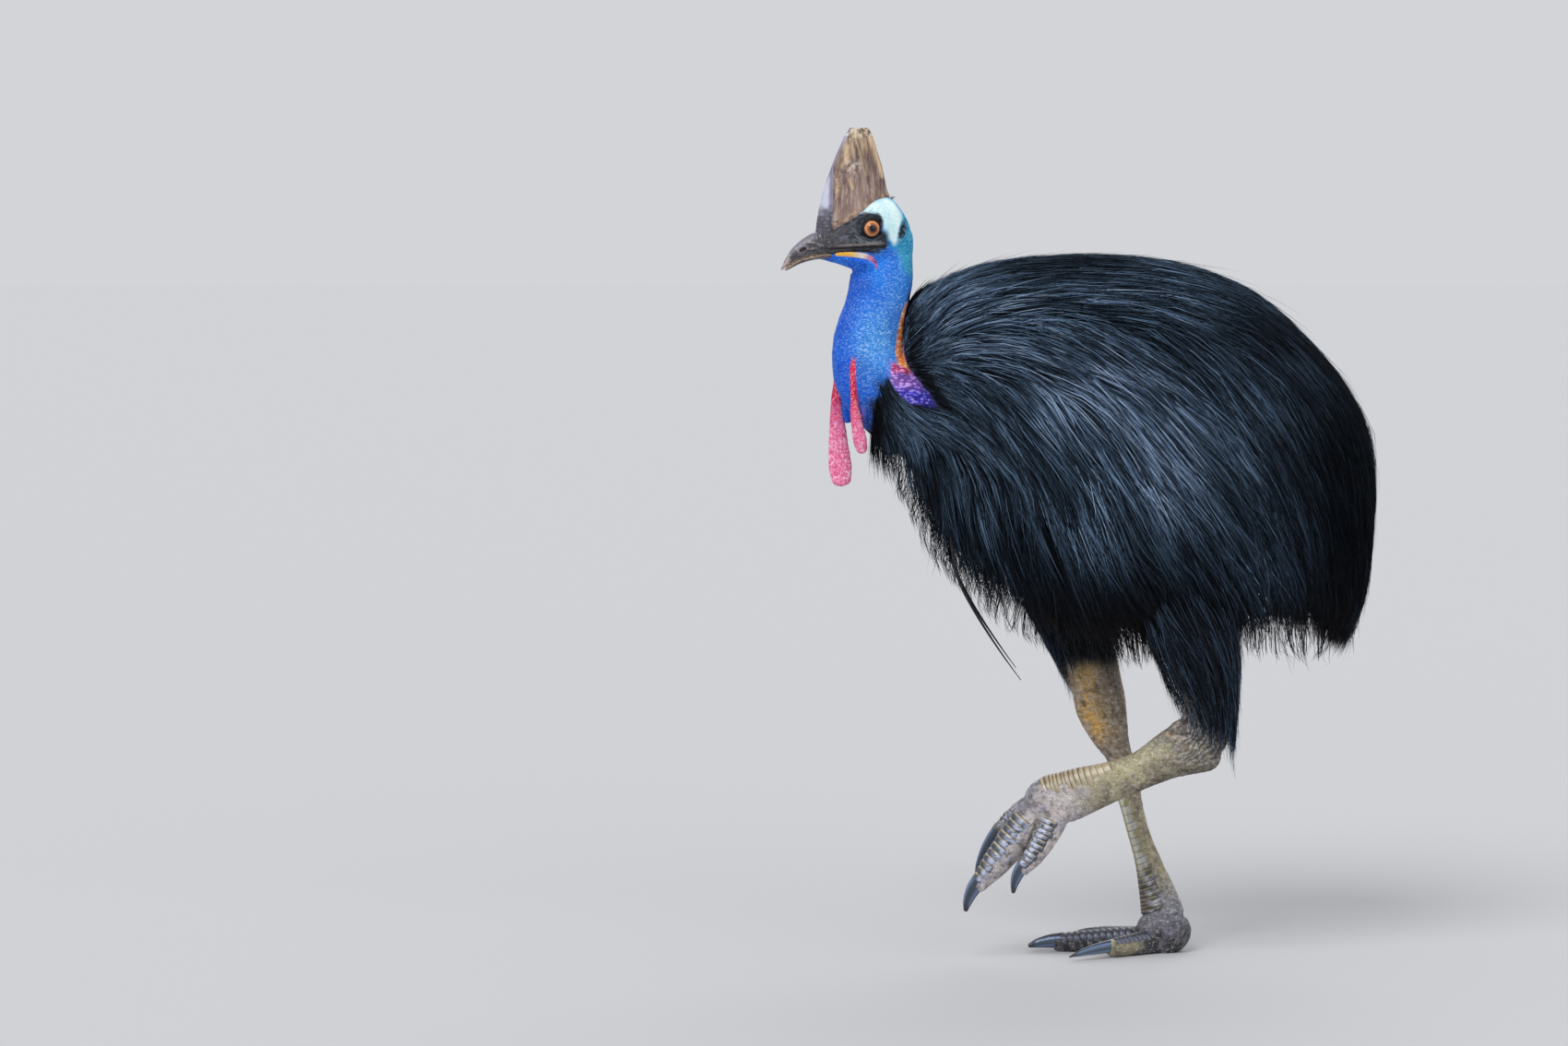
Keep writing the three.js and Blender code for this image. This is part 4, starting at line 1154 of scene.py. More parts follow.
for form, is_upper in ((upper_sheath, True), (lower_sheath, False)):
    at, *faces = form.mesh(110, 36)
    edge = np.interp(at[:, 0], MOUTH_LINE[:, 0], MOUTH_LINE[:, 1])
    level = at[:, 2] - edge
    if is_upper:
        at[:, 2] = np.where(level < 0, edge + level * 0.06, at[:, 2])
    else:
        at[:, 2] = np.where(level > -0.7, edge - 0.7 + (level + 0.7) * 0.06, at[:, 2])
    level = at[:, 2] - edge
    lateral = np.abs(at[:, 1])
    plane = at[:, [0, 2]]
    fine = lumps(at * [0.25, 1, 1], 2.4, 71)
    blotches = lumps(at * [0.7, 1, 1], 7, 72)
    tint = np.tile(shade(54, 51, 56), (len(at), 1))
    paint(28, 27, 30, 0.85 * ease(0.5, 0.25, fine))
    paint(118, 112, 120, 0.5 * ease(0.6, 0.85, fine) * ease(0.4, 0.7, blotches))
    middle_z = np.interp(-at[:, 0], -form.places[:, 0], form.places[:, 2])
    out = unit(columns(0 * lateral, at[:, 1], at[:, 2] - middle_z))
    push = 0.5 * (fine - 0.5) + 0.4 * (blotches - 0.5)
    if is_upper:
        # The ridge, the wrinkled cere at the root, the nostril in its rim, and the worn edge and tip.
        # Painted highlights along the ridge and on the upper sides.
        ridge_highlight = hill(lateral, 5.5) * ease(6, 18, level)
        paint(156, 150, 168, 0.9 * ridge_highlight * ease(-424, -440, at[:, 0]))
        paint(150, 138, 146, 0.7 * ease(0.56, 0.8, fine) * ease(4, 14, level))
        paint(118, 112, 128, 0.6 * stroke(plane, [(-505, 1222), (-484, 1240), (-463, 1250)], 6))
        cere = ease(-478, -462, at[:, 0])
        crumpled = lumps(at * [1.6, 1, 1], 5, 73)
        push += cere * (crumpled - 0.5) + cere * 0.7 * np.sin(at[:, 0] * 1.1 + 4 * lumps(at, 9, 74))
        # Painted shade in the hollows of the crumpled cere.
        paint(44, 42, 47, cere * 0.6 * ease(0.5, 0.3, crumpled))
        paint(132, 128, 142, cere * 0.45 * ease(0.55, 0.8, lumps(at * [1.4, 1, 1], 4, 75)))
        tilt = np.radians(24)
        x, z = plane[:, 0] + 488.5, plane[:, 1] - 1221
        along, above = x * np.cos(tilt) + z * np.sin(tilt), -x * np.sin(tilt) + z * np.cos(tilt)
        nostril = np.hypot(along / 7.6, above / 4.0)
        push += -3.4 * ease(1.0, 0.55, nostril) + 0.9 * hill(nostril - 1.25, 0.25)
        paint(120, 110, 120, hill(nostril - 1.22, 0.22) * 0.6)
        # Painted shade inside the nostril.
        paint(46, 16, 22, ease(1.02, 0.8, nostril))
        groove = near_line(plane, [(-480, 1218), (-462, 1221), (-440, 1224), (-425, 1227)])[0]
        push -= 1.2 * hill(groove, 2.0)
        # Painted shade in the groove.
        paint(28, 27, 31, 0.7 * hill(groove, 1.8))
        paint(170, 144, 112, 0.8 * ease(2.4, 0.4, level + 2.4 * (fine - 0.5)))
        paint(186, 166, 160, 0.8 * ease(-505, -517, at[:, 0]) * ease(0.3, 0.6, fine))
    else:
        paint(128, 104, 86, 0.8 * ease(-9, -3, level + 3 * (fine - 0.5)) * ease(-425, -440, at[:, 0]))
        paint(206, 180, 148, 0.85 * ease(-4.2, -1.2, level + 2.5 * (fine - 0.5)) * ease(0.3, 0.6, blotches))
        paint(54, 44, 40, 0.8 * ease(0.48, 0.25, fine))
    forms.append((turned(at + out * push[:, None]), *faces))
    tints.append(tint)
bill_finish = Finish("bill_horn", IOR=1.5, Coat_Weight=0.35, Coat_Roughness=0.2)
bill_finish.painted()
fibre = bill_finish.noise(1.3, 3, (0.3, 1, 1))
bill_finish.lay(fibre.ease(0.5, 0.8) * 0.25, (0.45, 0.42, 0.42))
bill_finish.bump(fibre, 0.25, 0.5)
bill_finish.drive(Base_Color=bill_finish.color, Roughness=(fibre * 0.3 + 0.28).held())
for name, form, tint in zip(("bill_upper", "bill_lower"), forms, tints):
    sheath = place_mesh(f"{name}_sheath", *form)
    write_colors(sheath.data, "tint", tint)
    mount(sheath, bill_finish, "bill_horn", name)

# The eyes: whole balls, deep in their sockets, each with a clear cornea that stands a little proud, an
# amber iris that darkens at its rim and a round black pupil. They are glossy, because a live eye is wet.
IRIS, PUPIL, CORNEA = 13.9, 5.9, 0.9
for side, name in ((-1, "left"), (1, "right")):
    turn = np.arange(72) / 72 * 2 * np.pi
    arcs = np.concatenate([np.linspace(0, 1.1, 46)[1:], np.linspace(1.1, np.pi, 16)[1:-1]])
    rows = []
    for a in arcs:
        radius = EYE_RADIUS + CORNEA * ease(0.8, 0.15, a)
        rows.append(np.stack([
            EYE[0] + radius * np.sin(a) * np.cos(turn),
            side * (EYE[1] + radius * np.cos(a)) + 0 * turn,
            EYE[2] + radius * np.sin(a) * np.sin(turn),
        ], axis=1))
    ends = [
        [EYE[0], side * (EYE[1] + EYE_RADIUS + CORNEA), EYE[2]],
        [EYE[0], side * (EYE[1] - EYE_RADIUS), EYE[2]],
    ]
    at, quads, fans = closed_tube(np.array(rows), ends)
    if side > 0:
        quads, fans = quads[:, ::-1], fans[:, ::-1]
    from_axis = np.hypot(at[:, 0] - EYE[0], at[:, 2] - EYE[2]) + 100 * (side * at[:, 1] < EYE[1])
    round_axis = np.arctan2(at[:, 2] - EYE[2], at[:, 0] - EYE[0])
    spoke = lumps(columns(round_axis * 9, from_axis * 0.5, 0 * from_axis), 1.0, 81)
    tint = np.tile(shade(178, 100, 50), (len(at), 1))
    paint(208, 140, 92, ease(0.4, 0.75, spoke) * 0.8)
    paint(132, 62, 22, ease(0.4, 0.2, spoke) * 0.6)
    paint(216, 156, 112, hill(from_axis - 11.2, 1.6) * 0.7)
    paint(110, 52, 22, hill(from_axis - 7.6, 1.2) * 0.8)
    paint(40, 20, 12, ease(IRIS - 1.3, IRIS + 0.4, from_axis))
    paint(5, 4, 5, ease(PUPIL + 0.6, PUPIL - 0.3, from_axis))
    ball = place_mesh(f"eye_ball_{name}", turned(at), quads, fans)
    write_colors(ball.data, "tint", tint)
    eye_finish = Finish(
        f"eye_{name}", Roughness=0.15, Specular_IOR_Level=0.2, Coat_Weight=0.5, Coat_Roughness=0.02)
    eye_finish.painted()
    warm = eye_finish.mix(eye_finish.noise(0.8, 3).ease(0.4, 0.8) * 0.5, WHITE, (1.5, 1.35, 1.2))
    eye_finish.drive(Base_Color=eye_finish.mix(1.0, eye_finish.color, warm, "MULTIPLY"))
    mount(ball, eye_finish, "eye", f"eye_{name}")

# Scutes: curved plates of horn that overlap like roof tiles down the front of the lower legs and along the
# tops of the toes. They are polished blue-grey to black, with a rubbed cream edge.
SHIN, TOE, ANKLE, SIDE_TOE = range(4)
PLATE_ROWS, PLATE_COLUMNS, PLATE_ROOT = 7, 15, 1.2


def plate(form, low, high, half_turn, rise, lean, crown):
    """A plate over part of a form, closed underneath. It leans to the bird's left about the form's front
    line, and is thicker towards its far edge or, as far as it is crowned, in its middle. With its mesh come
    two numbers for each point: how far along the plate it lies, and how far across."""
    share = np.linspace(0, 1, PLATE_ROWS)[:, None]
    across = np.linspace(-1, 1, PLATE_COLUMNS)[None, :]
    along = low + (high - low) * share + 0 * across
    bow = 0.12 * (high - low) * (1 - across**2)
    turn = -np.pi / 2 - lean + half_turn * across + 0 * share
    edge = np.clip(1 - np.abs(across) ** 3.5, 0, 1) ** 0.7
    edge = edge * np.clip(np.sin(np.pi * (0.06 + 0.9 * share**1.4)), 0, 1) ** 0.4
    domed = np.sqrt(np.sin(np.pi * (0.04 + 0.92 * share)))
    lift = rise * ((1 - crown) * (0.35 + 0.65 * share) + crown * domed) * edge
    lift = lift - 0.9 * ease(0.75, 1.0, np.abs(across))
    top = form.skin(along + bow, turn, 1.0, lift)
    under = form.skin(along + bow, turn, 1.0, -PLATE_ROOT + 0 * lift)
    shell = np.concatenate([top, under[:, ::-1]], axis=1)
    lies = [
        np.append(np.concatenate([grid, grid[:, ::-1]], axis=1), at_ends)
        for grid, at_ends in ((share + 0 * across, [0, 1]), (across + 0 * share, [0, 0]))
    ]
    return *closed_tube(shell, [shell[0].mean(axis=0), shell[-1].mean(axis=0)]), *lies


def face_out(thing):
    """Turns every closed shell of a mesh right side out."""
    shell = bmesh.new()
    shell.from_mesh(thing.data)
    bmesh.ops.recalc_face_normals(shell, faces=shell.faces)
    shell.to_mesh(thing.data)
    shell.free()


scute_finish = Finish("scutes", IOR=1.5, Coat_Roughness=0.15)
scute_finish.painted()
rub = scute_finish.noise(2.2, 4)
scute_finish.lay(rub.ease(0.5, 0.8) * 0.3, (0.42, 0.43, 0.48))
scute_finish.bump(rub, 0.3, 0.6)
scute_finish.drive(
    Base_Color=scute_finish.color,
    Roughness=(rub * 0.35 + 0.2).held(),
    Coat_Weight=rub.ease(0.7, 0.3) * 0.5,
)
for name in LEGS:
    toes = {which: form for which, (form, *_) in toes_of[name].items()}
    is_left = name == "left"
    # Each row's form, first and last span, count, half width, thickness, lean, crown and kind.
    if is_left:
        # Its last row lies over the ankle and ends on top of the ball.
        ankle, ball_at = np.array(LEGS[name]["tarsus"][-2:], float), np.array(LEGS[name]["ball"][0], float)
        over = Loft([
            *ankle,
            [*(ball_at * 0.7 + ankle[1, :3] * 0.3 + [-2, 0, 1]), 33, 45],
            [*(toes["middle"].places[0] * 0.55 + ball_at * 0.45), 33, 41],
        ])
        rows = [
            (tarsus_forms[name], 2.8, 4.6, 8, 1.25, 1.1, 0.15, 0.3, SHIN),
            (toes["middle"], 1.0, 4.8, 11, 1.2, 2.6, 0.35, 0.9, TOE),
            (toes["outer"], 0.9, 4.8, 10, 1.1, 2.4, 0.8, 0.9, SIDE_TOE),
            (toes["inner"], 3.0, 4.7, 4, 1.15, 1.6, 0.1, 0.9, TOE),
            (over, 0.45, 2.3, 6, 1.05, 1.3, 0.1, 0.3, ANKLE),
        ]
    else:
        rows = [
            (tarsus_forms[name], 0.9, 4.75, 19, 1.45, 1.1, 0.45, 0.3, SHIN),
            (toes["middle"], 1.0, 4.8, 11, 1.2, 2.6, 0.15, 0.9, TOE),
            (toes["outer"], 0.9, 4.8, 10, 1.1, 2.4, -0.1, 0.9, TOE),
            (toes["inner"], 1.0, 4.7, 8, 1.15, 1.6, 0.1, 0.9, TOE),
        ]
    parts, lies = [], []
    for form, first, last, count, half_turn, rise, lean, crown, kind in rows:
        # Down the standing leg the plates grow shorter towards the foot.
        crowding = 0.8 if kind == SHIN and not is_left else 1.0
        cuts = first + (last - first) * np.linspace(0, 1, count + 1) ** crowding
        for k, (low, high) in enumerate(zip(cuts[:-1], cuts[1:])):
            fade = min(1.0, 0.25 + (k + 1) / 5) if kind == SHIN else 1.0
            width = half_turn * (0.6 + 0.4 * fade) * (1 + 0.1 * np.sin(k * 2.4 + kind))
            *shell, key, side_of = plate(
                form, low - 0.02, high + 0.1 * (high - low), width, rise * fade, lean, crown)
            parts.append(shell)
            lies.append([key, side_of, np.full(len(key), kind), np.full(len(key), k / count)])
    points, quads, fans = together(parts)
    points[:, 2] = np.maximum(points[:, 2], 0.5)
    key, side_of, kind, run = (np.concatenate(values) for values in zip(*lies))
    blotches = lumps(points, 8, 91)
    fine = lumps(points, 2.6, 93)
    near = np.abs(side_of)
    inner = ease(0.98, 0.6, near)
    on_shin, on_toe = kind == SHIN, (kind == TOE) | (kind == SIDE_TOE)
    # Painted highlight: a glint along each toe plate's curve.
    lit = np.where(kind == SIDE_TOE, hill(near - 0.1, 0.5), hill(near - 0.72, 0.32))
    lit = lit * ease(0.1, 0.35, key) * ease(1.0, 0.75, key)
    if is_left:
        tint = np.where(on_toe[:, None], shade(34, 38, 50), shade(172, 156, 124))
        paint(186, 196, 222, on_toe * lit * 0.9 * ease(0.15, 0.5, 0.6 * blotches + 0.4 * fine))
        paint(14, 16, 22, on_toe * 0.8 * ease(0.45, 0.25, fine))
        low_down = ease(0.1, 0.5, run + 0.4 * (kind == ANKLE))
        paint(84, 72, 60, ~on_toe * 0.9 * ease(0.5, 0.8, key + 0.35 * (blotches - 0.5)) * low_down)
        paint(214, 200, 168, ~on_toe * 0.6 * hill(key - 0.35, 0.2) * ease(0.35, 0.7, fine))
        paint(158, 148, 122, ~on_toe * ease(0.5, 1.0, near + 0.5 * (fine - 0.5)))
    else:
        tint = np.tile(shade(36, 36, 42), (len(points), 1))
        paint(132, 122, 78, on_shin * ease(0.75, 0.3, run))
        paint(46, 36, 26, on_shin * ease(0.35, 0.6, run) * (0.5 + 0.5 * ease(0.1, 0.6, key)))
        paint(
            172, 176, 190,
            on_shin * 0.75 * hill(side_of + 0.5, 0.2) * ease(0.2, 0.6, blotches + 0.4 * (fine - 0.5)),
        )
        # Painted highlight down the standing leg's plates, and painted shade on their far side.
        paint(212, 212, 192, on_shin * 0.85 * hill(side_of + 0.2, 0.16) * ease(0.62, 0.4, run))
        paint(44, 38, 26, on_shin * 0.6 * ease(0.1, 0.5, side_of))
        # Painted highlight on the standing foot's toe plates.
        paint(120, 128, 152, on_toe * 0.5 * lit)
    gap_line = ease(0.14, 0.02, key) + 0.8 * ease(0.94, 1.0, key)
    paint(24, 20, 18, (1 - on_toe * 0.3) * gap_line * 0.8 * inner)
    cream = hill(key - (0.2 if is_left else 0.24), 0.1)
    broken = 0.4 + 0.6 * ease(0.3, 0.7, lumps(points, 5, 92))
    wanted = on_toe * (1 - 0.6 * lit) if is_left else on_shin * ease(0.3, 0.5, run)
    paint(*((216, 200, 160) if is_left else (178, 166, 112)), wanted * cream * 0.9 * broken * inner)
    scutes = place_mesh(f"scutes_{name}", points, quads, fans)
    face_out(scutes)
    write_colors(scutes.data, "tint", tint)
    mount(scutes, scute_finish, "leg_skin")

# The claws: curved cones of polished blue-black horn, the inner one long and straight as a dagger. Each
# grows from the end of its toe and has a keel along its back and a collar of softer horn at its root.
CLAW_ROOT, CLAW_STATIONS = 13, 7
claw_finish = Finish("claw_horn", IOR=1.55, Coat_Roughness=0.08)
claw_finish.painted()
streak = claw_finish.noise(2.0, 4, (1, 1, 0.5))
claw_finish.lay(streak.ease(0.5, 0.8) * 0.35, shade(92, 112, 142))
claw_finish.bump(streak, 0.25, 0.5)
claw_finish.drive(
    Base_Color=claw_finish.color,
    Roughness=(streak * 0.3 + 0.12).held(),
    Coat_Weight=streak.ease(0.75, 0.35) * 0.8,
)
for name in LEGS:
    for which, (_, tip, heading, axis, droop) in toes_of[name].items():
        _, _, length, thick = TOES[which]
        stations = []
        for share in np.linspace(0, 1, CLAW_STATIONS):
            way = swung(heading, axis, -droop * share)
            half = thick * (1 - (0.85 if which == "inner" else 0.68) * share**1.9)
            root = tip - np.cross(heading, axis) * 0.32 * thick
            stations.append([*(root + way * ((length + CLAW_ROOT) * share - CLAW_ROOT)), half, half * 1.2])
        form = Loft(stations, domes=(3, 3))
        at, quads, fans = form.mesh(40, 8)
        _, lie = near_line(at[:, [0, 2]], form.places[:, [0, 2]])
        out = unit(at - np.array([form.skin(share * form.spans, 0.0, 0.0) for share in lie]))
        upper_side = -out @ np.cross(heading, unit(SIDEWAYS - heading[1] * heading))
        push = 0.9 * ease(0.75, 1.0, upper_side) * ease(1, 0.8, lie) + 0.8 * ease(0.16, 0.05, lie)
        push += 0.35 * (lumps(at, 3, 95) - 0.5)
        at = at + out * push[:, None]
        at[:, 2] = np.maximum(at[:, 2], 0.3)
        tint = np.tile(shade(26, 34, 46), (len(at), 1))
        # Painted highlight: a light streak where the claw faces sideways and forward.
        highlight_facing = np.abs(out[:, 1]) * 0.8 + np.maximum(-out[:, 0], 0) * 0.4 - 0.35
        paint(
            104, 132, 172,
            0.8 * hill(highlight_facing - 0.27, 0.13) * ease(0.02, 0.2, lie) * ease(0.98, 0.8, lie),
        )
        paint(120, 112, 100, 0.7 * ease(0.12, 0.04, lie))
        paint(12, 14, 18, ease(0.75, 1.0, lie) * 0.8)
        claw = place_mesh(f"claw_horn_{which}_{name}", at, quads, fans)
        write_colors(claw.data, "tint", tint)
        mount(claw, claw_finish, "claw_horn", f"claw_{which}_{name}")

# The wings: tiny stumps lost in the coat, each with a few bare black quills that show below the breast. A
# quill is a round rod of horn without barbs, thick where it leaves the wing and drawn out to a point.
quill_finish = Finish("quill_horn", Roughness=0.45, IOR=1.5, Specular_IOR_Level=0.2)
gleam = quill_finish.noise(3, 3)
black = quill_finish.mix(gleam.ease(0.4, 0.7), (0.006, 0.006, 0.008), (0.03, 0.028, 0.03))
quill_finish.drive(Base_Color=black)
for side, name in ((-1, "left"), (1, "right")):
    parts = []
    for reach, spread in ((1.0, 0), (0.82, 9), (0.62, -9)):
        rows = []
        for run in np.linspace(-0.35, 1, 9) * reach:
            bare, hidden = max(run, 0), max(-run, 0)
            x, y = -220 + 110 * bare**1.25 - 30 * hidden, 94 + spread * run - 30 * hidden
            rows.append([x, side * y, 672 - 185 * run, 3.2 - 2.5 * bare, 3.2 - 2.5 * bare])
        parts.append(Loft(rows, domes=(2, 2)).mesh(14, 6, 3))
    quills = place_mesh(f"wing_quills_{name}", *together(parts))
    mount(quills, quill_finish, "quill_horn", f"wing_{name}")

# The coat: loose plumes without hooks, so that they hang like coarse black hair. They spring from the edge
# of the bare neck, arch back over the shoulders, lie along the back and fall down the flanks to a ragged
# hem.
COAT_OUTSIDE = [
    [-370, 930, 900, 915, 10], [-344, 978, 850, 915, 50], [-318, 1040, 805, 925, 68],
    [-303, 1113, 772, 935, 82], [-275, 1144, 732, 935, 100], [-222, 1178, 658, 913, 132],
    [-117, 1205, 576, 858, 180], [23, 1212, 528, 808, 215], [163, 1198, 528, 788, 222],
    [293, 1148, 538, 783, 200], [403, 1050, 536, 778, 152], [478, 943, 566, 768, 90],
    [511, 823, 698, 763, 22],
]
COAT_POWER = 2.15
coat_form = upright(COAT_OUTSIDE, power=COAT_POWER, domes=(4, 5.5))
fine_along = np.linspace(0, coat_form.spans, 600)
coat_line = middles(coat_form.places, fine_along)[0]
coat_sizes = between(coat_form.sizes, fine_along)
REAR_END, FRONT_END = coat_line[-1, 0], coat_line[0, 0]


def fullness(at):
    """1 on the coat's outside, less within it."""
    x = at[:, 0]
    mid = np.interp(x, coat_line[:, 0], coat_line[:, 2])
    wide, above, below = (np.interp(x, coat_line[:, 0], coat_sizes[:, k]) for k in range(3))
    rise = at[:, 2] - mid
    reach = np.where(rise > 0, above, below)
    full = (np.abs(at[:, 1] / wide) ** COAT_POWER + np.abs(rise / reach) ** COAT_POWER) ** (1 / COAT_POWER)
    return full + np.maximum(x - REAR_END, 0) / 20 + np.maximum(FRONT_END - x, 0) / 20


def out_of_coat(at):
    """Fullness, and how it grows along the three axes."""
    here = fullness(at)
    return here, columns(*(fullness(at + step) - here for step in np.eye(3)))


def onto_coat(at, rounds=2):
    """Points brought to the coat's outside by the shortest way, and the way out there."""
    for _ in range(rounds):
        here, growth = out_of_coat(at)
        pull = growth * ((here - 1) / np.maximum((growth**2).sum(axis=1), 1e-7))[:, None]
        far = np.maximum(np.linalg.norm(pull, axis=1, keepdims=True) / 30, 1)
        at = at - pull / far
    return at, unit(out_of_coat(at)[1])


# The lie of the plumes seen from the side: x, z and the way they point, in degrees above the tailward line.
LIE = np.array([
    (-305, 1114, 56), (-309, 1080, 50), (-309, 1046, 38), (-302, 1022, 18), (-288, 1003, 0),
    (-270, 982, -14), (-254, 962, -26), (-300, 953, -30), (-268, 948, -24), (-322, 968, -44),
    (-335, 990, -62), (-343, 1010, -70), (-354, 985, -78), (-360, 945, -86), (-225, 922, -36),
    (-285, 1140, 42), (-199, 1152, 14), (-112, 1176, 2), (33, 1187, -6), (208, 1176, -20),
    (354, 1088, -42), (446, 976, -62), (-262, 1066, 28), (-193, 1054, -12), (-171, 1108, 0),
    (-85, 1068, -27), (29, 1040, -36), (144, 1012, -44), (260, 983, -52), (378, 923, -62), (473, 832, -76),
    (-240, 1000, -30), (-190, 951, -46), (-114, 924, -56), (-28, 896, -58), (58, 897, -52),
    (144, 869, -50), (230, 840, -54), (348, 809, -62), (441, 746, -70), (-315, 930, -56), (-286, 861, -76),
    (-228, 776, -84), (-142, 750, -77), (-57, 752, -71), (29, 753, -66), (115, 754, -61), (202, 724, -58),
    (320, 693, -62), (443, 658, -72), (-170, 659, -80), (-83, 632, -77), (4, 603, -76), (120, 603, -70),
    (207, 574, -68), (324, 602, -66), (417, 597, -74), (-360, 880, -88), (500, 700, -90), (505, 900, -80),
    (480, 600, -96),
], float)
lie_way = columns(np.cos(np.radians(LIE[:, 2])), np.zeros(len(LIE)), np.sin(np.radians(LIE[:, 2])))


def lie_at(at, reach=38):
    """The way that plumes point at these places, drawn from what is marked within this reach."""
    gap = ((at[:, None, [0, 2]] - LIE[None, :, :2]) ** 2).sum(axis=2)
    share = np.exp(-(gap - gap.min(axis=1, keepdims=True)) / (2 * reach**2))
    way = unit((share / share.sum(axis=1, keepdims=True)) @ lie_way)
    # Over the back the plumes part from the middle line and lean towards the flanks.
    x, y = at[:, 0], at[:, 1]
    way[:, 1] = 0.2 * np.tanh(y / 30) * ease(90, 30, np.abs(y)) * ease(-300, -200, x) * ease(380, 250, x)
    return unit(way)


dice = np.random.default_rng(74)
JOINTS = 5
steps = np.linspace(0, 1, JOINTS)
HEM = [
    (-370, 900), (-330, 845), (-300, 780), (-222, 660), (-117, 582), (23, 522), (70, 500), (118, 486),
    (163, 520), (293, 532), (397, 542), (444, 506), (480, 559), (502, 618), (515, 720),
]


def hem_of(x):
    """The height that the longest plumes reach down to."""
    return np.interp(x, *zip(*HEM))


def comb(roots, lengths, sway):
    """The way of each plume along the coat's outside, joint by joint, and the way out at each joint."""
    at, out = onto_coat(roots, 3)
    path, outs = [at], [out]
    pace = (lengths / (JOINTS - 1))[:, None]
    c, s = np.cos(sway), np.sin(sway)
    for _ in range(JOINTS - 1):
        x, y, z = lie_at(at).T
        way = columns(x * c - z * s, y, x * s + z * c)
        low = ease(150, 10, at[:, 2] - hem_of(at[:, 0]))[:, None]
        flat_way = unit(way - out * (way * out).sum(axis=1, keepdims=True))
        inwards = np.interp(at[:, 0], [380, 490], [0.12, -0.4])
        hanging = columns(inwards, 0 * inwards, -1 + 0 * inwards) - out * [1, 1, 0] * 0.12
        way = unit(flat_way * (1 - low) + hanging * low)
        moved = at + way * pace
        fitted, out = onto_coat(moved, 1)
        at = moved + (fitted - moved) * (1 - 0.82 * low)
        path.append(at)
        outs.append(out)
    return np.stack(path, axis=1), np.stack(outs, axis=1)


def scatter(form, count, density, rings=160, sides=120):
    """Random places on a form, as thick as its density says: along it, turned about it, and in space."""
    along = np.linspace(0.02, form.spans - 0.02, rings)
    turn = np.arange(sides + 1) / sides * 2 * np.pi
    grid = form.skin(along[:, None] + np.zeros(sides + 1), turn[None, :] + np.zeros((rings, 1)))
    area = np.linalg.norm(np.cross(grid[1:, :-1] - grid[:-1, :-1], grid[:-1, 1:] - grid[:-1, :-1]), axis=2)
    middle = (grid[1:, 1:] + grid[:-1, :-1]) / 2
    chance = (area * density(middle.reshape(-1, 3)).reshape(area.shape)).ravel()
    picked = dice.choice(len(chance), count, p=chance / chance.sum())
    row, column = np.divmod(picked, sides)
    u = along[row] + (along[1] - along[0]) * dice.random(count)
    v = turn[column] + turn[1] * dice.random(count)
    return u, v, form.skin(u, v)


NECK_EDGE = BARE_NECK[1:8]


def root_density(at):
    """How thick the plumes stand: none on the bare neck, most beside it and on the back, few underneath."""
    side_view = at[:, [0, 2]]
    full = 1.0 - within(side_view, BARE_NECK, 1.0)
    growth = out_of_coat(at)[1]
    under = ease(0.2, -0.75, growth[:, 2] / np.linalg.norm(growth, axis=1))
    beside, _ = near_line(side_view, NECK_EDGE)
    edge = 1 + 1.6 * hill(beside, 45) + 2 * hill(beside, 15) + 1.5 * hill(at[:, 1], 22)
    return full * edge * (1 - 0.75 * under) * np.where(at[:, 2] < hem_of(at[:, 0]) + 60, 0.25, 1)


# The plumes' own black and brown, and the slate and gleam of the painted sheen that lightens them.
DEEP_BLACK = shade(3, 4, 6)
PAINTED_SLATE_SHEEN = shade(128, 158, 192)
PAINTED_GLEAM = shade(176, 198, 226)
UMBER = shade(36, 30, 28)
UV_PATCH = 0.003


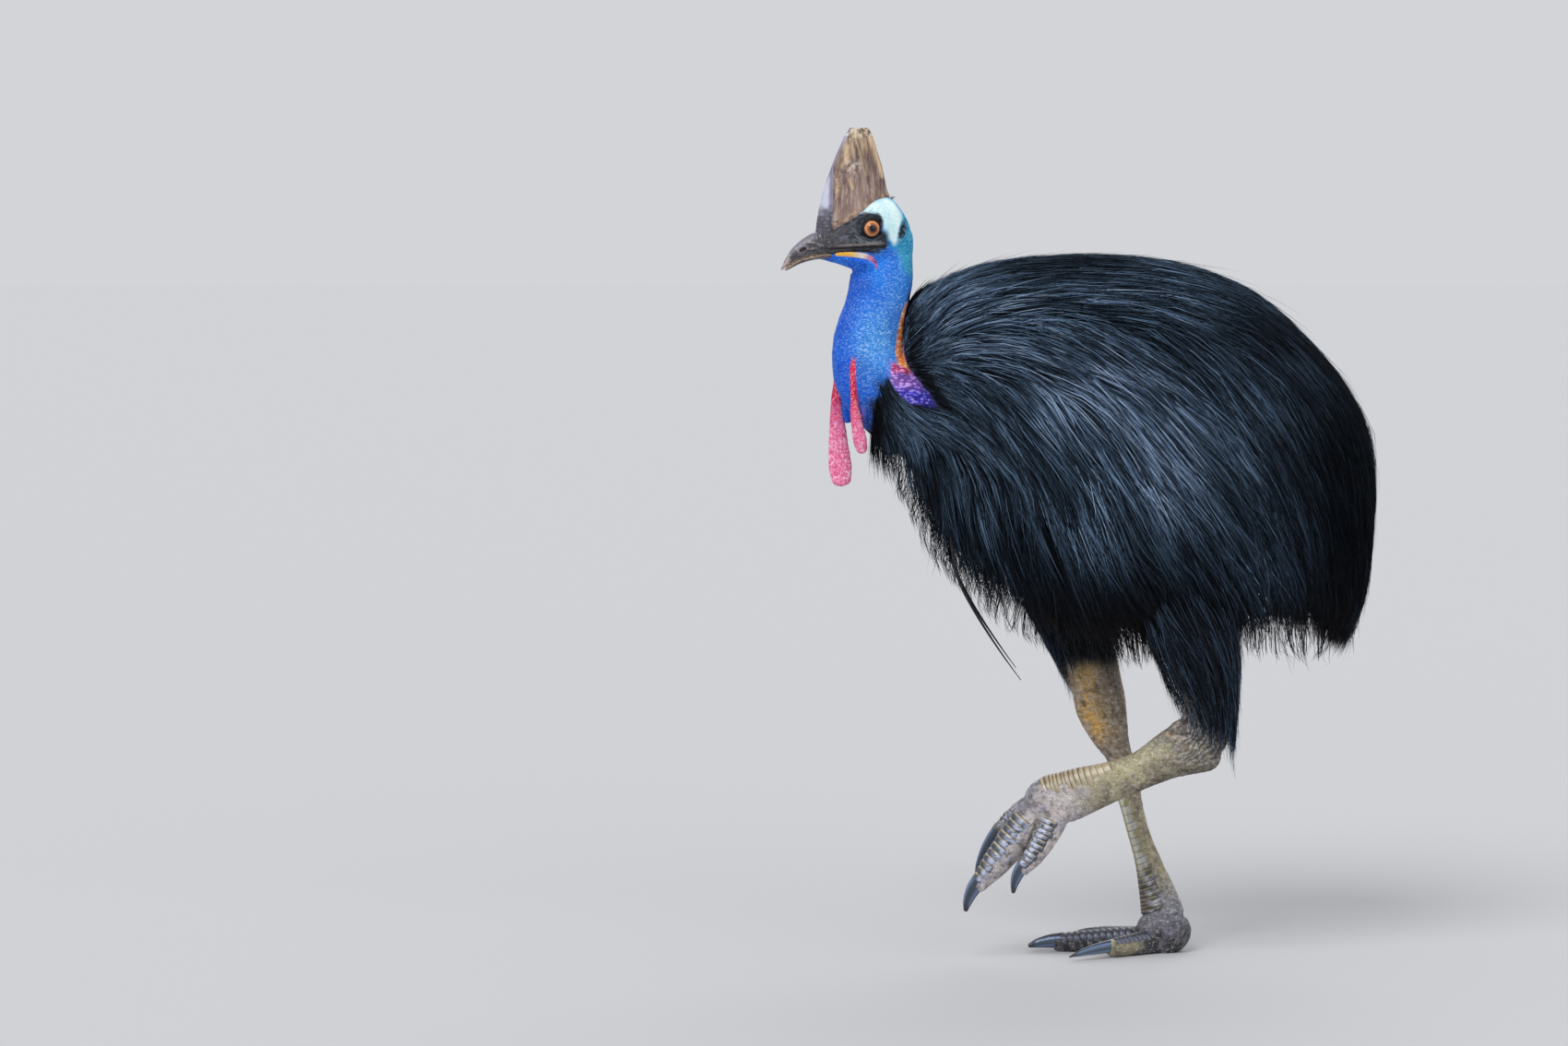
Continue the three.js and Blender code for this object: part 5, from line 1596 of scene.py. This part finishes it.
class Plumes:
    """Plumes gathered for the coat's pieces: the joints of each and the way out there, its thickness, its
    tone with painted sheen, how brown it is and its root's place on the unwrapped skin."""

    def __init__(self):
        self.sets = []

    def add(self, path, outs, half, tone, brown, place):
        self.sets.append((path, outs, half, tone, brown, place))

    def count(self):
        return sum(len(part[0]) for part in self.sets)

    def build(self, name, chosen):
        """One piece of the coat: a closed, three-sided, tapering strand over each chosen plume."""
        gathered = [np.concatenate(column)[chosen] for column in zip(*self.sets)]
        path, outs, half, tone, brown, place = gathered
        count, joints = path.shape[:2]
        ahead = unit(np.gradient(path, axis=1))
        across = unit(np.cross(ahead, outs))
        out = np.cross(across, ahead)
        taper = np.interp(np.linspace(0, 1, joints), [0, 0.15, 0.5, 0.75, 1], [0.7, 1.0, 0.9, 0.6, 0.1])
        width = half[:, None, None, None] * taper[None, :, None, None]
        turn = np.radians([90, 210, 330])[None, None, :, None]
        beside = np.cos(turn) * across[:, :, None, :] + 0.7 * np.sin(turn) * out[:, :, None, :]
        rings = path[:, :, None, :] + width * beside
        points = np.concatenate([rings[:, :-1].reshape(count, -1, 3), path[:, -1:, :]], axis=1)
        per = points.shape[1]
        ring, following = np.array([0, 1, 2]), np.array([1, 2, 0])
        quads = np.concatenate([
            columns(k + ring, k + following, k + 3 + following, k + 3 + ring)
            for k in range(0, (joints - 2) * 3, 3)
        ])
        last = (joints - 2) * 3
        tip = columns(last + ring, last + following, np.full(3, per - 1))
        fans = np.concatenate([tip, [[2, 1, 0]]])
        start = (np.arange(count) * per)[:, None, None]
        faces = (quads + start).reshape(-1, 4), (fans + start).reshape(-1, 3)
        thing = place_mesh(name, points.reshape(-1, 3), *faces)
        # Painted sheen along each plume: dull at the root, brightest past the middle.
        share = np.append(np.repeat(np.linspace(0, 1, joints)[:-1], 3), 1.0)
        bright = tone[:, None] * np.interp(share, [0, 0.35, 0.75, 1], [0.35, 0.9, 1.0, 0.75])[None, :]
        base = DEEP_BLACK + (UMBER - DEEP_BLACK) * brown[:, None, None]
        colors = base + (PAINTED_SLATE_SHEEN - base) * np.clip(bright * 1.6, 0, 1)[..., None]
        colors = colors + (PAINTED_GLEAM - colors) * np.clip(bright * 2.0 - 1.15, 0, 1)[..., None]
        write_colors(thing.data, "tint", colors.reshape(-1, 3))
        # Each plume is a small patch at its root's place on the unwrapped skin.
        u = place[:, 0:1] + UV_PATCH * np.append(np.tile([0.0, 0.5, 1.0], joints - 1), 0.5)
        v = place[:, 1:2] + UV_PATCH * share
        uv = np.stack([u, v], axis=2).reshape(-1, 2)
        corners = np.empty(len(thing.data.loops), np.int32)
        thing.data.loops.foreach_get("vertex_index", corners)
        layer = thing.data.uv_layers.new(name="OFBake")
        layer.data.foreach_set("uv", uv[corners].astype(np.float32).ravel())
        return thing


def length_of(at):
    """How long plumes are: short by the neck's foot, long on flank and rump."""
    gap = np.hypot(at[:, 0] + 322, (at[:, 2] - 1015) * 0.9)
    return 44 + 180 * ease(0, 300, gap)


def tamed(roots, lengths, sway, spread):
    """Combs plumes twice: first freely, then shortened so that none falls below the hem."""
    path, outs = comb(roots, lengths, sway)
    limit = hem_of(path[:, -1, 0]) + spread
    drop = np.maximum(path[:, 0, 2] - path[:, -1, 2], 1)
    share = np.clip((path[:, 0, 2] - limit) / drop, 0.22, 1)
    share = np.where(path[:, -1, 2] < limit, share, 1)
    return comb(roots, lengths * share, sway)


# Painted sheen that stands for the sky's light on the plumes: most over the shoulder and the flank, little
# at breast, hem and rump.
PAINTED_SHEEN_PLACES = [
    (-175, 1078, 130, 85, 1.75), (0, 985, 170, 110, 1.15), (100, 890, 150, 120, 1.15),
    (10, 775, 150, 85, 0.55), (80, 1150, 210, 60, 0.52), (265, 770, 110, 150, 0.3),
    (-300, 920, 60, 60, 0.35), (-150, 860, 120, 130, 0.65),
    (245, 1000, 120, 110, 0.36),
]


def painted_sheen_at(at):
    """How much painted sheen brightens the plumes at these places."""
    light = np.full(len(at), 0.025)
    for x, z, wide, tall, strength in PAINTED_SHEEN_PLACES:
        light = np.maximum(light, strength * oval(at[:, [0, 2]], x, z, wide, tall))
    return light


plumes = Plumes()
TRUNK_PLUMES, CLUMPS = 55000, 4200
_, _, clump_roots = scatter(coat_form, CLUMPS, root_density)
u, v, roots = scatter(coat_form, TRUNK_PLUMES, root_density)
clump_sway = np.radians(dice.normal(0, 6.5, CLUMPS))
clump_spread = dice.random(CLUMPS) ** 1.6 * 55
clump_path, _ = tamed(clump_roots, length_of(clump_roots), clump_sway, clump_spread)
clump_tone = dice.random(CLUMPS)
finder = KDTree(CLUMPS)
for k, root in enumerate(clump_roots):
    finder.insert(root, k)
finder.balance()
leader = np.array([finder.find(root)[1] for root in roots])
sway = clump_sway[leader] * 0.75 + np.radians(dice.normal(0, 2.8, len(roots)))
lengths = length_of(roots) * dice.uniform(0.7, 1.2, len(roots))
spread = clump_spread[leader] + dice.random(len(roots)) ** 2 * 60 - 6
path, outs = tamed(roots, lengths, sway, spread)
# Plumes of a clump draw together towards their tips. Its middle stands proud and its edges lie deep, with
# painted highlight on the middle and painted shade at the edges.
gather = clump_path[leader] - path
apart = np.linalg.norm(gather, axis=2, keepdims=True)
path = path + np.where(apart < 45, gather, 0) * (0.6 * steps**1.2)[None, :, None]
core = hill(apart[:, 0, 0], 9.0)
beside, _ = near_line(roots[:, [0, 2]], NECK_EDGE)
depth = np.interp(beside, [0, 40, 240], [0.5, 10, 30])[:, None]
lay = (0.25 + 0.75 * dice.random(len(roots))) * (1 - 0.75 * core)
lay = lay * np.interp(beside, [0, 50, 150], [1, 5, 14])
sink = depth * (1 - ease(0.0, 0.5, steps)) + lay[:, None] * ease(0.1, 0.5, steps) * (1 - 0.4 * steps)
stray = dice.normal(0, 1, (len(roots), 1, 3)) * (steps**2.2 * 3.0)[None, :, None]
loose = 0.05 + 0.22 * ease(330, 480, roots[:, 0]) + 0.16 * ease(160, 40, roots[:, 2] - hem_of(roots[:, 0]))
wild = np.where(dice.random(len(roots)) < loose, 3.2, 1.0)[:, None, None]
path = path - outs * sink[..., None] + stray * wild
# None stands out behind the rump's own outline.
RUMP = [(560, 476), (620, 488), (700, 497), (800, 503), (880, 505), (950, 498)]
beyond = path[..., 0] - np.interp(path[..., 2], *zip(*RUMP))
path[..., 0] -= 0.8 * np.maximum(beyond, 0)
middle = path[:, 2]
# Each plume's tone: its own at random, with painted highlight on its clump's middle and painted sheen by
# place.
tone = (0.03 + 1.5 * dice.random(len(roots)) ** 2.4) * (0.3 + 1.0 * core)
tone = tone * (0.45 + 0.9 * clump_tone[leader] ** 1.3)
tone = tone * painted_sheen_at(middle) * (0.6 + 0.8 * lumps(middle, 60, 5))
brown = np.clip(ease(700, 560, middle[:, 2]) * 0.6 + 0.5 * dice.random(len(roots)) ** 3, 0, 0.9)
half = dice.uniform(0.42, 0.86, len(roots)) * np.where(dice.random(len(roots)) < 0.12, 1.35, 1.0)
half *= 0.7 + 0.3 * ease(20, 120, beside)
plumes.add(path, outs, half, tone, brown, columns(u / coat_form.spans, v / (2 * np.pi)))

# Short plumes rooted on the neck itself: a collar that fans back from its rear edge, and the breast's, in
# front of the beaded patch and below it.
BREAST = [
    (-343, 1021), (-336, 1009), (-333, 998), (-321, 974), (-299, 958), (-267, 955), (-246, 925),
    (-340, 905), (-366, 918), (-364, 962), (-355, 1003),
]
neck_line = middles(neck_form.places, np.linspace(0, neck_form.spans, 60))[0]
neck_sizes = between(neck_form.sizes, np.linspace(0, neck_form.spans, 60))


def flank_at(spots):
    """Half the width of neck and coat together at places seen from the side."""
    gap, share = near_line(spots, neck_line[:, [0, 2]])
    wide, deep = (np.interp(share, np.linspace(0, 1, 60), neck_sizes[:, k]) for k in (0, 1))
    neck = wide * np.sqrt(np.clip(1 - (gap / deep) ** 2, 0, 1))
    full = fullness(columns(spots[:, 0], 0 * gap, spots[:, 1]))
    coat = np.interp(spots[:, 0], coat_line[:, 0], coat_sizes[:, 0])
    return np.maximum(neck, coat * np.clip(1 - full**COAT_POWER, 0, 1) ** (1 / COAT_POWER))


def short_plumes(spots, side, lengths, half, tone):
    """Plumes that lie along the flank from places seen from the side, but never over the bare neck."""
    pace = lengths / (JOINTS - 1)
    turn_by = np.radians(dice.normal(0, 4, len(spots)))
    height_over = dice.uniform(0, 2.5, len(spots))
    at, path, outs = spots, [], []
    for k in range(JOINTS):
        wide = flank_at(at)
        rise = wide - 3 + 5 * ease(0, 0.4, steps[k]) + height_over * steps[k]
        path.append(columns(at[:, 0], side * rise, at[:, 1]))
        slope = [(flank_at(at + step) - wide) / 4 for step in ((4, 0), (0, 4))]
        outs.append(unit(columns(-slope[0], np.full(len(at), float(side)), -slope[1])))
        way = lie_at(columns(at[:, 0], 0 * pace, at[:, 1]), 17)
        angle = np.arctan2(way[:, 2], way[:, 0]) + turn_by
        at = at + columns(np.cos(angle), np.sin(angle)) * pace[:, None]
    path, outs = np.stack(path, axis=1), np.stack(outs, axis=1)
    over = np.max([within(path[:, k][:, [0, 2]], BARE_NECK, 2.0) for k in range(1, JOINTS)], axis=0)
    clear = over < 0.35
    place = columns((spots[:, 0] + 560) / 1100, (spots[:, 1] + 100) / 1500)
    brown = 0.3 * dice.random(clear.sum())
    plumes.add(path[clear], outs[clear], half[clear], tone[clear], brown, place[clear])


edge_line = np.array(NECK_EDGE, float)
for side in (-1, 1):
    spots = columns(dice.uniform(-366, -246, 3600), dice.uniform(905, 1022, 3600))
    spots = spots[within(spots, BREAST, 0.5) > 0.5][:1000]
    count = len(spots)
    # Painted sheen on the breast's plumes fades towards its front.
    tone = dice.random(count) ** 2.5 * 0.6 * ease(-362, -325, spots[:, 0])
    short_plumes(spots, side, dice.uniform(48, 100, count), dice.uniform(0.45, 0.85, count), tone)
    count = 1700
    along = dice.uniform(0, len(edge_line) - 1.001, count)
    step = along.astype(int)
    spots = edge_line[step] + (along - step)[:, None] * (edge_line[step + 1] - edge_line[step])
    spots = spots + columns(dice.random(count) ** 1.3 * 20 + 0.5, dice.uniform(-3, 3, count))
    tone = dice.random(count) ** 2 * 0.6 * ease(0, 14, near_line(spots, NECK_EDGE)[0])
    short_plumes(spots, side, dice.uniform(26, 70, count), dice.uniform(0.4, 0.75, count), tone)

# Thigh plumes: longer ones that cover the upper legs and thin out over heel and shank. For each leg: the
# coat's stations (x, y, z, half width, half depth), the way the plumes lie by height, and how far down they
# reach by x.
THIGH_COATS = {
    "left": (
        [(153, -108, 690, 84, 100), (175, -114, 598, 70, 86), (194, -118, 518, 57, 72),
         (206, -118, 448, 45, 55), (212, -118, 404, 37, 46), (210, -118, 360, 34, 44)],
        ([380, 460, 560, 690], [-84, -74, -62, -58]),
        ([100, 120, 168, 215, 256, 270], [525, 492, 414, 385, 362, 372]),
        4200,
    ),
    "right": (
        [(-38, 84, 690, 82, 96), (-22, 76, 610, 68, 82), (-2, 68, 548, 57, 68), (18, 59, 494, 46, 56),
         (27, 55, 462, 40, 49), (34, 52, 430, 37, 46)],
        ([440, 560, 690], [-80, -72, -66]),
        ([-80, -30, -4, 18, 60, 90], [428, 438, 476, 504, 500, 505]),
        2600,
    ),
}


def thigh_at(rows, z):
    """The middle x and y, the half width and the half depth of a thigh's coat at these heights."""
    return [np.interp(z, rows[:, 2], rows[:, column]) for column in (0, 1, 3, 4)]


for coat_rows, lie_by_height, reach_by_x, count in THIGH_COATS.values():
    rows = np.array(coat_rows, float)[::-1]
    turn = dice.uniform(0, 2 * np.pi, count)
    z = 690 - (690 - rows[0, 2]) * dice.random(count) ** 0.8
    sway = np.radians(dice.normal(0, 6.5, count)) + 0.05 * np.sin(turn * 5)
    middle_x, middle_y, wide, deep = thigh_at(rows, z)
    at = columns(middle_x + deep * np.cos(turn), middle_y + wide * np.sin(turn), z)
    limit = np.interp(at[:, 0], *reach_by_x) + dice.random(count) ** 1.5 * 46
    keep = at[:, 2] > limit + 18
    at, turn, sway = at[keep], turn[keep], sway[keep]
    count = len(at)
    place = columns(0.4 + 0.2 * turn / (2 * np.pi), (at[:, 2] - 300) / 1500)
    lengths = dice.uniform(70, 150, count)
    # Combed twice, like the trunk's: first freely, then shortened.
    for _ in range(2):
        path, outs, spot = [], [], at
        for k in range(JOINTS):
            z = spot[:, 2]
            middle_x, middle_y, wide, deep = thigh_at(rows, z)
            radial = unit(columns((spot[:, 0] - middle_x) / deep, (spot[:, 1] - middle_y) / wide))
            lift = np.interp(steps[k], [0, 0.3, 1], [-9, -1.5, 0.5])
            x, y = middle_x + radial[:, 0] * (deep + lift), middle_y + radial[:, 1] * (wide + lift)
            spot = columns(x, y, z)
            path.append(spot)
            outs.append(columns(radial[:, 0], radial[:, 1], 0.15 + 0 * turn))
            angle = np.radians(np.interp(z, *lie_by_height)) + sway
            step = columns(np.cos(angle), 0 * angle, np.sin(angle))
            spot = spot + step * (lengths / (JOINTS - 1))[:, None]
        path, outs = np.stack(path, axis=1), unit(np.stack(outs, axis=1))
        limit = np.interp(path[:, -1, 0], *reach_by_x) + dice.random(count) ** 2 * 75
        limit = limit - 64 * dice.random(count) ** 7
        drop = np.maximum(path[:, 0, 2] - path[:, -1, 2], 1)
        share = np.clip((path[:, 0, 2] - limit) / drop, 0.1, 1)
        lengths = lengths * np.where(path[:, -1, 2] < limit, share, 1)
    path = path + dice.normal(0, 1, (count, 1, 3)) * (steps**2 * 4.0)[None, :, None]
    tone = dice.random(count) ** 4 * 0.3
    plumes.add(path, outs, dice.uniform(0.35, 0.75, count), tone, 0.6 * dice.random(count), place)

# A few bristles stand on the nape behind the casque.
count = 24
x, y, z = dice.uniform(-341, -332, count), dice.normal(0, 5, count), dice.uniform(1303, 1309, count)
back, aside, up = dice.uniform(0.7, 1.2, count), dice.normal(0, 0.2, count), dice.uniform(0.2, 0.75, count)
way = unit(columns(back, aside, up))
reach = (steps * dice.uniform(7, 13, (count, 1)))[..., None]
path = columns(x, y, z)[:, None] + way[:, None] * reach
path = turned(path.reshape(-1, 3)).reshape(path.shape)
outs = np.broadcast_to([0.0, -1.0, 0.3], path.shape)
place = columns(dice.uniform(0.2, 0.25, count), dice.uniform(0.9, 0.95, count))
plumes.add(path, outs, dice.uniform(0.2, 0.32, count), 0.1 * dice.random(count), np.zeros(count), place)

# All plumes have one finish, a dull black with a bluish gleam from a blue specular tint and from painted
# sheen in their colours, and are dealt out among pieces of like size.
coat_finish = Finish(
    "plumage", Roughness=0.42, IOR=1.5, Specular_IOR_Level=0.09, Specular_Tint=(0.6, 0.8, 1.0, 1))
coat_finish.painted()
coat_finish.drive(Base_Color=coat_finish.color)
COAT_PIECES = 8
piece_of = dice.integers(0, COAT_PIECES, plumes.count())
for k in range(COAT_PIECES):
    layer = plumes.build(f"plumes_{k + 1}", piece_of == k)
    mount(layer, coat_finish, "plumage")

# The stage: a plain pale floor that runs to the horizon under an even sky, lit from high behind the camera,
# from the bird's tail and a little from beyond it.
REACH = 30000
floor_finish = Finish(
    "studio_floor", Base_Color=(*shade(192, 192, 194), 1), Roughness=0.95, Specular_IOR_Level=0.1)
corners = [[-REACH, -REACH, 0], [REACH, -REACH, 0], [REACH, REACH, 0], [-REACH, REACH, 0]]
floor = place_mesh("floor", corners, np.array([[0, 1, 2, 3]]))
floor.data.materials.append(floor_finish.material)
world = bpy.data.worlds.new("studio")
bpy.context.scene.world = world
world.use_nodes = True
backdrop = world.node_tree.nodes["Background"]
backdrop.inputs[0].default_value = (*shade(226, 228, 232), 1)
backdrop.inputs[1].default_value = 0.85


def sun(name, toward, strength, spread, color=(1, 1, 1)):
    """Even light from far away along a direction, its shadows softened by an angle in degrees."""
    light = bpy.data.lights.new(name, "SUN")
    light.energy, light.angle, light.color = strength, math.radians(spread), color
    lamp = bpy.data.objects.new(name, light)
    lamp.rotation_euler = Vector(toward).to_track_quat("-Z", "Y").to_euler()
    bpy.context.scene.collection.objects.link(lamp)


sun("key", (0.45, 0.75, -1.0), 1.55, 32)
sun("fill", (-0.8, 0.9, -0.5), 0.45, 50, (0.92, 0.96, 1.0))
sun("rim", (-0.3, -0.9, -0.9), 0.6, 40)
bpy.context.scene.view_settings.view_transform = "Standard"

bpy.context.view_layer.update()
